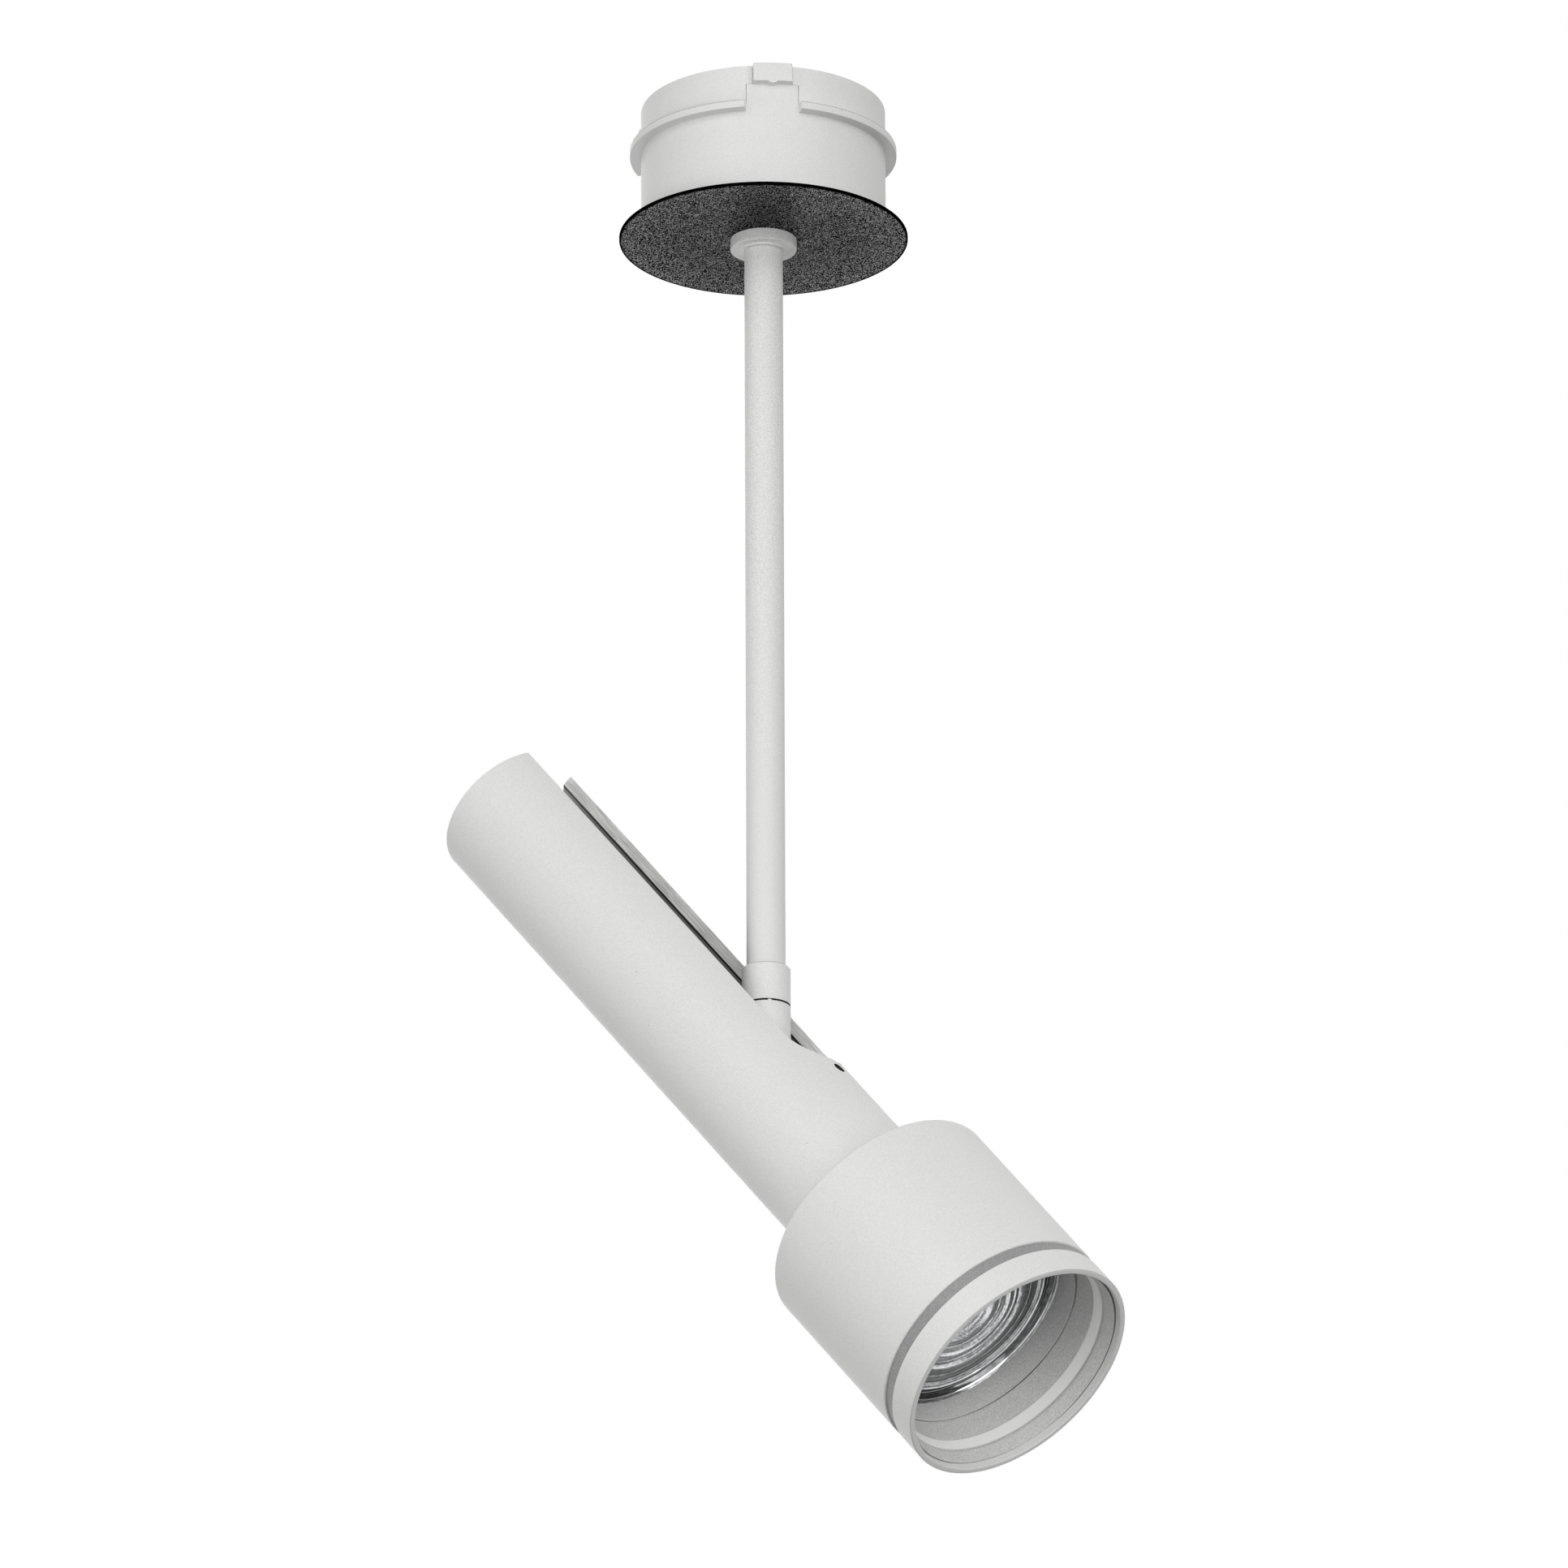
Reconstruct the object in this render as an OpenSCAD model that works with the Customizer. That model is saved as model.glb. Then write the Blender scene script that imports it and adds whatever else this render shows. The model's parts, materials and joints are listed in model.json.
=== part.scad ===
// Semi-recessed spotlight: a snap-in recess cup with a cover disc, a drop stem with a
// swivel, and a slotted tube that carries a cylindrical lamp head and tilts on the stem.
// Millimetres. The origin is the centre of the cover disc's upper face, +Z is up.

/* [Recess cup] */
// Outer diameter of the recess cup
cup_d = 63.6; // [60:0.2:68]
// Height of the cup above the cover disc
cup_h = 35; // [33:0.5:42]
// Wall thickness of the cup
cup_wall = 1.6; // [1.4:0.1:2]
// Thickness of the cup's floor
cup_floor = 2; // [1.6:0.1:3]
// How far the lip stands out of the cup
lip_out = 2.9; // [2:0.1:3.4]
// Thickness of the lip
lip_t = 2.1; // [1.6:0.1:2.6]
// Height of the lip's upper face above the cover disc
lip_top = 24.4; // [23.5:0.1:25.5]
// Lip left out at the front latch, in degrees
lip_gap_front = 24.6; // [22:0.2:30]
// Lip left out at each rear latch, in degrees
lip_gap_rear = 12.2; // [8:0.2:24]

/* [Latches] */
// Direction of the front latch about the stem, in degrees
latch_turn = -54; // [-80:1:-30]
// Arc of a latch's foot, in degrees
latch_foot_arc = 24.6; // [22:0.2:28]
// Arc of a latch's head, in degrees
latch_head_arc = 18.2; // [14:0.2:19]
// Height of a latch's head
latch_head_h = 5.3; // [4:0.1:6]
// How far a latch's head stands out of the cup
latch_out = 2.2; // [1.6:0.1:2.6]
// Width of the slits round a latch
slit = 0.35; // [0.3:0.05:0.5]

/* [Cover disc and stem] */
// Diameter of the cover disc
disc_d = 75; // [72:0.5:90]
// Thickness of the cover disc
disc_t = 0.8; // [0.6:0.1:1.2]
// Depth of the disc's shallow seat for the cup
disc_seat = 0.3; // [0.2:0.05:0.4]
// Diameter of the stem's flange
flange_d = 17.2; // [16:0.2:20]
// Thickness of the stem's flange
flange_t = 3; // [2.4:0.1:4]
// Diameter of the stem tube
stem_d = 10; // [9:0.1:10.6]
// Wall thickness of the stem tube
stem_wall = 1.4; // [1.2:0.1:1.6]
// Cover disc to the upper end of the swivel collar
stem_drop = 202.4; // [150:1:260]

/* [Swivel] */
// Diameter of the swivel collar and knuckle
knuckle_d = 12.5; // [12.2:0.1:13.5]
// Length of the swivel collar
collar_h = 10.2; // [9.6:0.1:12]
// Gap between collar and knuckle
swivel_gap = 0.4; // [0.35:0.05:0.5]
// Swivel gap to the tilt pivot
pivot_drop = 23.5; // [22:0.5:30]
// Diameter of the tilt bolt
bolt_d = 4; // [3.5:0.1:4.4]

/* [Body tube] */
// Lamp axis away from straight down, in degrees
aim_angle = 40; // [30:1:55]
// Outer diameter of the body tube
tube_d = 38.5; // [37:0.5:42]
// Wall thickness of the body tube
tube_wall = 2.5; // [2:0.1:2.8]
// Pivot to the open back end of the tube
tube_rear = 121.4; // [80:1:150]
// Width of the lengthwise slot
slot_w = 20.5; // [19:0.5:22]
// Pivot to the hinge screw
screw_ahead = 13.2; // [12.6:0.2:15]

/* [Head] */
// Outer diameter of the head
head_d = 65; // [63:0.5:72]
// Wall thickness of the head shell
head_wall = 3.6; // [3.2:0.1:4]
// Pivot to the back face of the head
head_ahead = 52.6; // [50:0.5:70]
// Length of the head shell
shell_len = 50.4; // [49:0.2:60]
// Thickness of the shell's back wall
back_wall = 3; // [2.4:0.2:4]
// Width of the visible diffuser ring
ring_w = 3.4; // [2.8:0.1:4.5]
// Depth of the diffuser ring below the shell's surface
ring_recess = 0.6; // [0.3:0.1:0.8]
// Length of the front bezel
bezel_len = 8.3; // [7.6:0.1:10]
// Width of the bezel's rim
rim_w = 1.2; // [1:0.1:1.6]

/* [Light engine] */
// Front rim to the front of the lens
lens_depth = 24.2; // [23.5:0.1:26]
// Thickness of the lens
lens_t = 8; // [7.4:0.1:9]
// Front rim to the front edge of the baffle ring
baffle_depth = 16.4; // [14:0.1:18]
// Thickness of the heat sink's base
sink_base_t = 4; // [3:0.2:5]
// Number of heat sink fins
fin_count = 18; // [12:1:22]
// Diameter of the light-emitting surface
led_d = 16; // [12:0.5:18]

/* [Hidden] */
$fn = 96;

// Colours
white_coat = [0.88, 0.88, 0.88];
dark_coat = [0.25, 0.25, 0.26];
ring_grey = [0.58, 0.58, 0.58];
steel = [0.72, 0.73, 0.75];
zinc = [0.8, 0.8, 0.82];
brass = [0.8, 0.68, 0.4];
raw_alu = [0.78, 0.79, 0.8];
white_plastic = [0.93, 0.93, 0.92];
black_rubber = [0.14, 0.14, 0.15];
driver_grey = [0.82, 0.83, 0.84];
phosphor = [0.95, 0.83, 0.35];
clear = [0.85, 0.9, 0.93, 0.5];

// Clearances
fit = 0.05;          // running and seating clearance between round pieces
screw_fit = 0.15;    // a screw in its through hole
over = 1;            // cutters run past the faces that they cut by this much
edge = 0.4;          // small rounding of coated edges

// Cup
cup_r = cup_d / 2;
cup_bore_r = cup_r - cup_wall;
foot_gap = slit;                        // slit below a latch's foot
latch_foot_z = lip_top + foot_gap;
latch_top_z = cup_h + 0.1 * cup_wall;   // a latch stands a little above the cup's rim
latch_head_z = latch_top_z - latch_head_h;
latch_angles = [latch_turn, latch_turn - 120, latch_turn + 120];
nub_r = 1.4;         // grip nub below a latch's head
nub_drop = 0.6;
lid_t = 1.8;
ledge_w = 1.5;
ledge_t = 1.2;
lid_z = 18.8;        // underside of the lid, on the ledge
lid_screw_r = 1.25;
lid_post_r = 2.6;
post_inset = 1.4;    // post centre from the ledge's inner edge, in post radii
lid_post_ring = cup_bore_r - ledge_w - post_inset * lid_post_r;
lid_post_turn = 38;
lid_post_angles = [180, lid_post_turn, -lid_post_turn];

// Cable entry
cable_r = 3.5;
grommet_wall = 1.9;
grommet_flange = 1.6;
grommet_lip_t = 1.2;
grip_r = cable_r + grommet_wall;   // lid's hole round the grommet

// Stem fittings
disc_r = disc_d / 2;
flange_r = flange_d / 2;
stem_r = stem_d / 2;
stem_bore_r = stem_r - stem_wall;
stem_boss_r = stem_r + 0.9 * stem_wall;   // small boss where stem and flange meet
stem_boss_t = 0.5;
washer_t = 0.8;
washer_rim = 3.2;
nut_t = 3.5;
nut_rim = 3.4;       // stem to the locknut's corners
thread_past = 2.2;   // stem thread past the locknut
stem_top = cup_floor + washer_t + nut_t + thread_past;

// Wiring parts on the cup's floor
nut_room = 0.7;      // room round the locknut
driver_y = stem_r + nut_rim + nut_room;
driver_back = 8.1;   // driver's back to the cup's wall
post_room = 1.15;    // driver's ends to the lid's posts
driver_l = 2 * (lid_post_ring * cos(lid_post_turn) - lid_post_r - post_room);
driver_w = cup_bore_r - driver_y - driver_back;
driver_h = 14;
lead_r = 1.1;
block_l = 24;
block_w = 11;
block_h = 11;
pole_count = 3;
pole_pitch = block_l / pole_count;
wire_hole_r = 1.8;
pole_screw_r = 1.7;
clamp_w = 7;
clamp_l = 15.4;
clamp_h = 6.5;
clamp_x = driver_y + nut_room + clamp_w / 2;
clamp_screw_r = 1.25;
clamp_screw_y = clamp_l / 2 - 2.2 * clamp_screw_r;

// Swivel
knuckle_r = knuckle_d / 2;
collar_z = -stem_drop;
collar_foot_z = collar_z - collar_h;
knuckle_top_z = collar_foot_z - swivel_gap;
pivot_z = knuckle_top_z - pivot_drop;
stem_seat = 3.8;     // stem length held in the collar
stem_foot_z = collar_z - stem_seat;
spigot_room = 0.4;   // stem's end to the spigot
spigot_head_t = 1.75;
spigot_rim = 1.2;
spigot_wall = 1.4;
spigot_r = stem_bore_r;
spigot_head_z = stem_foot_z - spigot_room;
spigot_seat = 6;     // spigot length held in the knuckle
stop_w = 0.9;        // stop lug across the swivel gap
stop_turn = -50;
knuckle_flat = 0.75; // knuckle cut back each side of the eye
eye_flat_up = 5.6;   // flat above the pivot
bolt_r = bolt_d / 2;

// Body tube
tube_r = tube_d / 2;
tube_bore_r = tube_r - tube_wall;
slot_r = slot_w / 2;
slot_end = -0.05 * slot_r;   // centre of the slot's round end, along the lamp axis
plug_len = 10;               // plug in the tube's front end
cheek_gap = 0.25;            // knuckle to yoke cheek
cheek_t = 4;
cheek_r = 8;
yoke_back = slot_r + 0.4;    // yoke block starts just past the slot's round end
yoke_len = 13;
wire_r = 4.2;
screw_side = 2.2;            // hinge screw beside the slot's centre line
screw_r = 1.5;
screw_hole_r = screw_r + screw_fit;
screw_sunk = 1;
screw_len = 7;
socket_share = 0.55;         // hex socket's share of a screw's radius
washer_r = 5;
bolt_head_t = 1.6;
bolt_head_r = 3.4;
cheek_out = knuckle_r + cheek_gap + cheek_t;

// Head
head_r = head_d / 2;
shell_bore_r = head_r - head_wall;
shell_back = head_ahead;
shell_front = head_ahead + shell_len;
bezel_back = shell_front + ring_w;
rim = bezel_back + bezel_len;
back_round = 0.9;
nipple_r = 6.5;              // hollow threaded nipple of the plug, through the back wall
nipple_past = 1.5;
tube_nut_t = 3.6;
tube_nut_rim = 3.6;
nut_notches = 6;
nipple_front = shell_back + back_wall + tube_nut_t + nipple_past;
ring_in_r = shell_bore_r + 0.1;
ring_step_r = head_r - 1.9;
ring_out_r = head_r - ring_recess;
ring_shift = 2.3;            // inner band of the diffuser ring ahead of the outer band
recess_r = head_r - rim_w;
trim_step = 0.6;             // step inside the rim
trim_depth = 2.2;
shade_share = 0.1;           // bezel's inner lip, as a share of its length

// Light engine
lens_front = rim - lens_depth;
lens_back = lens_front - lens_t;
lens_flange_t = 1.2;
board_t = 1.6;
seat_wall = 1.9;
led_t = 1.2;
led_gap = 1.3;               // emitter to the lens
board_front = lens_back - led_gap - led_t;
board_back = board_front - board_t;
sink_front = board_back;
sink_back = sink_front - sink_base_t;
sink_shoulder = 1.5;
fin_t = 1.4;
fin_start = nipple_front + nipple_past;
core_r = 7;
post_r = 2.6;
post_ring = shell_bore_r - sink_shoulder - post_r;
post_angles = [60, 180, 300];
m3_r = 1.5;
m3_head_r = 2.8;
m3_head_t = 1.7;
board_r = shell_bore_r - seat_wall - 2 * fit;
board_screw_ring = 0.8 * board_r;
baffle_wall = 0.75;
led_r = led_d / 2;
led_base_rim = 2.4;
holder_rim = 6;
holder_t = 2.4;
holder_gap = 0.2;
lens_r = shell_bore_r - 2 * fit;
lens_clear_r = shell_bore_r - seat_wall - 2 * fit;

// Rings of the lens, as shares of its clear radius
lens_ring_shares = [0.18, 0.31, 0.46, 0.61, 0.8];
lens_step = 0.035 * lens_clear_r;    // height of the rings on the front
lens_tooth = 0.16 * lens_clear_r;    // depth of the rings on the back
// Across one front ring: places as shares of its width, heights as shares of the step
ring_place_shares = [0.02, 0.6, 0.98];
ring_rise_shares = [0, 1, 0.25];

function arc(c, r, a0, a1, n = 6) =
    [for (i = [0:n]) c + r * [cos(a0 + (a1 - a0) * i / n), sin(a0 + (a1 - a0) * i / n)]];

// Sector of a ring: a wedge to cut or keep an arc, centred on +X
module wedge(angle, r, z0, z1) {
    far = 2 * r;
    translate([0, 0, z0])
        linear_extrude(z1 - z0)
            polygon([[0, 0], far * [cos(angle / 2), -sin(angle / 2)], [far, 0],
                far * [cos(angle / 2), sin(angle / 2)]]);
}

module tube(r, bore, z0, z1) {
    difference() {
        translate([0, 0, z0]) cylinder(r = r, h = z1 - z0);
        translate([0, 0, z0 - over]) cylinder(r = bore, h = z1 - z0 + 2 * over);
    }
}

module hole(r, z0, z1) {
    translate([0, 0, z0]) cylinder(r = r, h = z1 - z0);
}

// Lamp frame: +Z along the lamp axis to the front, +X to the slot, pivot at the origin
module lamp_frame() {
    translate([0, 0, pivot_z])
        rotate([0, 180 - aim_angle, 0]) rotate([0, 0, 180]) children();
}

// Pan-head screw pointing down, underside of the head at z = 0
module pan_screw(r, head_r, head_t, len) {
    drive_w = 0.5 * r;
    difference() {
        union() {
            cylinder(r = head_r, h = head_t);
            translate([0, 0, -len]) cylinder(r = r, h = len + head_t / 2);
        }
        for (a = [0, 90])
            rotate([0, 0, a])
                translate([-0.6 * head_r, -drive_w / 2, 0.45 * head_t])
                    cube([1.2 * head_r, drive_w, head_t]);
    }
}

// Recess cup with its lip, lid ledge and lid posts
module recess_cup() {
    color(white_coat)
        difference() {
            union() {
                difference() {
                    hole(cup_r, -disc_seat, cup_h);
                    hole(cup_bore_r, cup_floor, cup_h + over);
                }
                cup_lip();
                tube(cup_bore_r + cup_wall / 2, cup_bore_r - ledge_w, lid_z - ledge_t, lid_z);
                for (a = lid_post_angles)
                    rotate([0, 0, a])
                        translate([lid_post_ring, 0, 0]) hole(lid_post_r, cup_floor / 2, lid_z);
            }
            hole(stem_r + fit, -disc_seat - over, cup_floor + over);
            for (a = lid_post_angles)
                rotate([0, 0, a])
                    translate([lid_post_ring, 0, 0]) hole(lid_screw_r + fit, cup_floor, lid_z + over);
            for (side = [-1, 1])
                translate([clamp_x, side * clamp_screw_y, 0])
                    hole(clamp_screw_r + fit, cup_floor / 4, cup_floor + over);
            for (a = latch_angles) rotate([0, 0, a]) latch_window();
        }
}

module cup_lip() {
    lip_r = cup_r + lip_out;
    difference() {
        rotate_extrude()
            polygon([[cup_r - cup_wall / 2, lip_top - lip_t], [lip_r - edge, lip_top - lip_t],
                [lip_r, lip_top - lip_t + edge], [lip_r, lip_top - edge], [lip_r - edge, lip_top],
                [cup_r - cup_wall / 2, lip_top]]);
        for (i = [0, 1, 2])
            rotate([0, 0, latch_angles[i]])
                wedge(i == 0 ? lip_gap_front : lip_gap_rear, lip_r,
                    lip_top - lip_t - over, lip_top + over);
    }
}

function slit_angle(r) = 2 * asin(slit / r);

// The window that a latch moves in: wide at its foot, narrow at its head
module latch_window() {
    wedge(latch_foot_arc + slit_angle(cup_r), cup_r, lip_top, latch_head_z);
    wedge(latch_head_arc + slit_angle(cup_r), cup_r, lip_top, cup_h + over);
}

// One latch, its head outwards on +X
module latch() {
    head_r = cup_r + latch_out;
    color(white_coat)
        union() {
            intersection() {
                tube(cup_r, cup_bore_r, latch_foot_z, latch_head_z);
                wedge(latch_foot_arc - slit_angle(cup_r), cup_r, latch_foot_z - over, latch_top_z);
            }
            intersection() {
                difference() {
                    rotate_extrude()
                        polygon(concat([[0, latch_head_z], [head_r - edge / 2, latch_head_z],
                            [head_r, latch_head_z + edge / 2]],
                            arc([head_r - 2 * edge, latch_top_z - 2 * edge], 2 * edge, 0, 90),
                            [[0, latch_top_z]]));
                    hole(cup_bore_r, latch_head_z - over, latch_top_z + over);
                }
                wedge(latch_head_arc, cup_r, latch_head_z - over, latch_top_z + over);
            }
            intersection() {
                translate([cup_r - cup_wall / 2, 0, latch_head_z + nub_r - nub_drop])
                    rotate([0, 90, 0]) cylinder(r = nub_r, h = latch_out + cup_wall);
                tube(head_r, cup_r - cup_wall / 2, latch_head_z - nub_drop, latch_head_z + nub_drop);
            }
        }
}

module latch_front() { rotate([0, 0, latch_angles[0]]) latch(); }
module latch_left() { rotate([0, 0, latch_angles[1]]) latch(); }
module latch_right() { rotate([0, 0, latch_angles[2]]) latch(); }

// Lid that closes the wiring space of the cup
module cup_lid() {
    color(white_plastic)
        difference() {
            hole(cup_bore_r - fit, lid_z, lid_z + lid_t);
            hole(grip_r, lid_z - over, lid_z + lid_t + over);
            for (a = lid_post_angles)
                rotate([0, 0, a])
                    translate([lid_post_ring, 0, 0])
                        hole(lid_screw_r + screw_fit, lid_z - over, lid_z + lid_t + over);
        }
}

module lid_screws() {
    color(zinc)
        for (a = lid_post_angles)
            rotate([0, 0, a])
                translate([lid_post_ring, 0, lid_z + lid_t])
                    pan_screw(lid_screw_r, 2 * lid_screw_r, lid_t, 4 * lid_t);
}

// Rubber grommet in the lid for the supply cable
module cable_grommet() {
    rim_r = grip_r + grommet_flange;
    z0 = lid_z - grommet_lip_t;
    z1 = lid_z + lid_t + grommet_lip_t;
    color(black_rubber)
        rotate_extrude()
            polygon([[cable_r, z0], [rim_r - edge, z0], [rim_r, z0 + edge], [rim_r, lid_z],
                [grip_r, lid_z], [grip_r, lid_z + lid_t], [rim_r, lid_z + lid_t],
                [rim_r, z1 - edge], [rim_r - edge, z1], [cable_r, z1]]);
}

// Driver module beside the stem, standing on the cup's floor, its corners cut off
module led_driver() {
    lead_h = 0.7 * driver_h;
    color(driver_grey)
        difference() {
            translate([-driver_l / 2, driver_y, cup_floor])
                linear_extrude(driver_h)
                    polygon([[edge, 0], [driver_l - edge, 0], [driver_l, edge],
                        [driver_l, driver_w - edge], [driver_l - edge, driver_w],
                        [edge, driver_w], [0, driver_w - edge], [0, edge]]);
            for (side = [-1, 1])
                translate([side * driver_l / 2, driver_y + driver_w / 2, cup_floor + lead_h])
                    rotate([0, 90, 0]) cylinder(r = lead_r, h = 2 * lead_r, center = true, $fn = 24);
        }
}

// Three-pole terminal block on the other side of the stem
module terminal_block() {
    color(white_plastic)
        difference() {
            translate([-block_l / 2, -driver_y - block_w, cup_floor])
                cube([block_l, block_w, block_h]);
            for (i = [0:pole_count - 1])
                translate([(i + 0.5) * pole_pitch - block_l / 2, -driver_y - block_w / 2, 0]) {
                    hole(pole_screw_r + screw_fit, cup_floor + block_h / 2, cup_floor + block_h + over);
                    translate([0, 0, cup_floor + block_h / 3])
                        rotate([90, 0, 0]) cylinder(r = wire_hole_r, h = block_w + over, center = true);
                }
            for (i = [1:pole_count - 1])
                translate([i * pole_pitch - block_l / 2 - edge, -driver_y - block_w - over,
                    cup_floor + 0.8 * block_h])
                    cube([2 * edge, block_w + 2 * over, block_h]);
        }
}

module terminal_screws() {
    screw_top = 0.9 * block_h;
    color(brass)
        for (i = [0:pole_count - 1])
            translate([(i + 0.5) * pole_pitch - block_l / 2, -driver_y - block_w / 2,
                cup_floor + block_h / 2])
                difference() {
                    cylinder(r = pole_screw_r, h = screw_top - block_h / 2);
                    translate([-pole_screw_r, -pole_screw_r / 5, (screw_top - block_h / 2) * 0.7])
                        cube([2 * pole_screw_r, 0.4 * pole_screw_r, block_h]);
                }
}

// Saddle that clamps the supply cable to the cup's floor
module cable_clamp() {
    arch_r = 0.35 * clamp_h;
    color(white_plastic)
        difference() {
            translate([clamp_x - clamp_w / 2, -clamp_l / 2, cup_floor])
                cube([clamp_w, clamp_l, clamp_h]);
            translate([clamp_x, 0, cup_floor + arch_r])
                rotate([0, 90, 0]) cylinder(r = arch_r, h = clamp_w + over, center = true);
            translate([clamp_x - clamp_w, -arch_r, cup_floor - over])
                cube([2 * clamp_w, 2 * arch_r, arch_r + over]);
            for (side = [-1, 1])
                translate([clamp_x, side * clamp_screw_y, 0])
                    hole(clamp_screw_r + screw_fit, cup_floor - over, cup_floor + clamp_h + over);
        }
}

module clamp_screws() {
    color(zinc)
        for (side = [-1, 1])
            translate([clamp_x, side * clamp_screw_y, cup_floor + clamp_h])
                pan_screw(clamp_screw_r, 1.8 * clamp_screw_r, 1.2 * clamp_screw_r,
                    clamp_h + cup_floor / 2);
}

// Flat cover disc that hides the ceiling cut-out, with a shallow seat for the cup
module cover_disc() {
    color(dark_coat)
        difference() {
            tube(disc_r, stem_r + fit, -disc_t, 0);
            hole(cup_r + fit, -disc_seat, over);
        }
}

// White flange under the cover disc
module stem_flange() {
    z1 = -disc_t;
    z0 = z1 - flange_t;
    color(white_coat)
        rotate_extrude()
            polygon(concat([[stem_r + fit, z1], [flange_r, z1]],
                arc([flange_r - edge, z0 + edge], edge, 0, -90),
                arc([stem_boss_r + stem_boss_t, z0 - stem_boss_t], stem_boss_t, 90, 180),
                [[stem_r + fit, z0 - stem_boss_t]]));
}

module stem_tube() {
    color(white_coat) tube(stem_r, stem_bore_r, stem_foot_z, stem_top);
}

module lock_washer() {
    color(steel) tube(stem_r + washer_rim, stem_r + fit, cup_floor, cup_floor + washer_t);
}

module stem_locknut() {
    z0 = cup_floor + washer_t;
    color(steel)
        difference() {
            translate([0, 0, z0]) cylinder(r = stem_r + nut_rim, h = nut_t, $fn = 6);
            hole(stem_r + fit, z0 - over, z0 + nut_t + over);
        }
}

// Collar on the stem's lower end, with a shoulder that holds the spigot's head
module swivel_collar() {
    neck_z = spigot_head_z - spigot_head_t - fit;
    color(white_coat)
        difference() {
            rotate_extrude()
                polygon([[0, collar_foot_z], [knuckle_r - edge / 4, collar_foot_z],
                    [knuckle_r, collar_foot_z + edge / 4], [knuckle_r, collar_z - edge],
                    [knuckle_r - edge, collar_z], [0, collar_z]]);
            hole(stem_r + fit, neck_z, collar_z + over);
            hole(spigot_r + fit, collar_foot_z - over, collar_z);
        }
}

// Hollow spigot that carries the knuckle in the collar
module swivel_spigot() {
    z0 = knuckle_top_z - spigot_seat;
    color(steel)
        difference() {
            union() {
                hole(spigot_r, z0, spigot_head_z);
                hole(spigot_r + spigot_rim, spigot_head_z - spigot_head_t, spigot_head_z);
            }
            hole(spigot_r - spigot_wall, z0 - over, spigot_head_z + over);
        }
}

module friction_washer() {
    color(black_rubber)
        difference() {
            tube(knuckle_r - edge, spigot_r + fit, knuckle_top_z + fit / 2, collar_foot_z - fit);
            rotate([0, 0, stop_turn])
                translate([knuckle_r - 3 * edge, -stop_w, knuckle_top_z])
                    cube([3 * edge, 2 * stop_w, swivel_gap]);
        }
}

// Knuckle with a round eye at the pivot
module swivel_knuckle() {
    flat_y = knuckle_r - knuckle_flat;
    wire_turn = 40;
    color(white_coat)
        difference() {
            union() {
                rotate_extrude()
                    polygon([[0, pivot_z], [knuckle_r, pivot_z], [knuckle_r, knuckle_top_z - edge / 4],
                        [knuckle_r - edge / 4, knuckle_top_z], [0, knuckle_top_z]]);
                translate([0, 0, pivot_z]) sphere(r = knuckle_r);
                rotate([0, 0, stop_turn])
                    translate([knuckle_r - 1.5 * edge - stop_w / 2, 0, knuckle_top_z - edge])
                        translate([0, -stop_w / 2, 0])
                            cube([stop_w, stop_w, swivel_gap + edge - fit]);
            }
            hole(spigot_r, knuckle_top_z - spigot_seat, knuckle_top_z + swivel_gap + over);
            hole(spigot_r - spigot_wall, pivot_z + 2.5 * bolt_d, knuckle_top_z);
            translate([0, 0, pivot_z + 3 * bolt_d])
                rotate([0, 180 - wire_turn, 0]) cylinder(r = spigot_r - spigot_wall, h = knuckle_d);
            for (side = [-1, 1])
                translate([-knuckle_d, side > 0 ? flat_y : -flat_y - knuckle_d, pivot_z - knuckle_d])
                    cube([2 * knuckle_d, knuckle_d, knuckle_d + eye_flat_up]);
            translate([0, 0, pivot_z])
                rotate([90, 0, 0]) cylinder(r = bolt_r + fit, h = 2 * knuckle_d, center = true);
        }
}

// Slotted tube, open at the back
module body_tube() {
    z0 = -tube_rear;
    color(white_coat)
        lamp_frame()
            difference() {
                tube(tube_r, tube_bore_r, z0, shell_back);
                translate([0, -slot_r, z0 - over])
                    cube([tube_d, slot_w, slot_end - z0 + over]);
                translate([0, 0, slot_end])
                    rotate([0, 90, 0]) cylinder(r = slot_r, h = tube_d);
                translate([0, screw_side, screw_ahead])
                    rotate([0, 90, 0]) cylinder(r = screw_hole_r, h = tube_d);
            }
}

// Yoke fixed in the tube: a round block with two cheeks round the knuckle
module hinge_yoke() {
    cheek_y = knuckle_r + cheek_gap;
    color(raw_alu)
        lamp_frame()
            difference() {
                union() {
                    hole(tube_bore_r - fit, yoke_back, yoke_back + yoke_len);
                    for (side = [-1, 1])
                        translate([0, side > 0 ? cheek_y : -cheek_y - cheek_t, 0]) {
                            rotate([-90, 0, 0]) cylinder(r = cheek_r, h = cheek_t);
                            translate([-cheek_r, 0, 0])
                                cube([2 * cheek_r, cheek_t, yoke_back + over]);
                        }
                }
                rotate([90, 0, 0]) cylinder(r = bolt_r + fit, h = tube_d, center = true);
                hole(wire_r, yoke_back - over, yoke_back + yoke_len + over);
                translate([tube_bore_r - screw_len + screw_sunk, screw_side, screw_ahead])
                    rotate([0, 90, 0]) cylinder(r = screw_r + fit, h = tube_d);
            }
}

module pivot_washers() {
    in_y = knuckle_r - knuckle_flat + fit;
    out_y = knuckle_r + cheek_gap - fit;
    color(steel)
        lamp_frame()
            for (side = [-1, 1])
                translate([0, side > 0 ? in_y : -out_y, 0])
                    rotate([-90, 0, 0]) tube(washer_r, bolt_r + fit, 0, out_y - in_y);
}

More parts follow.
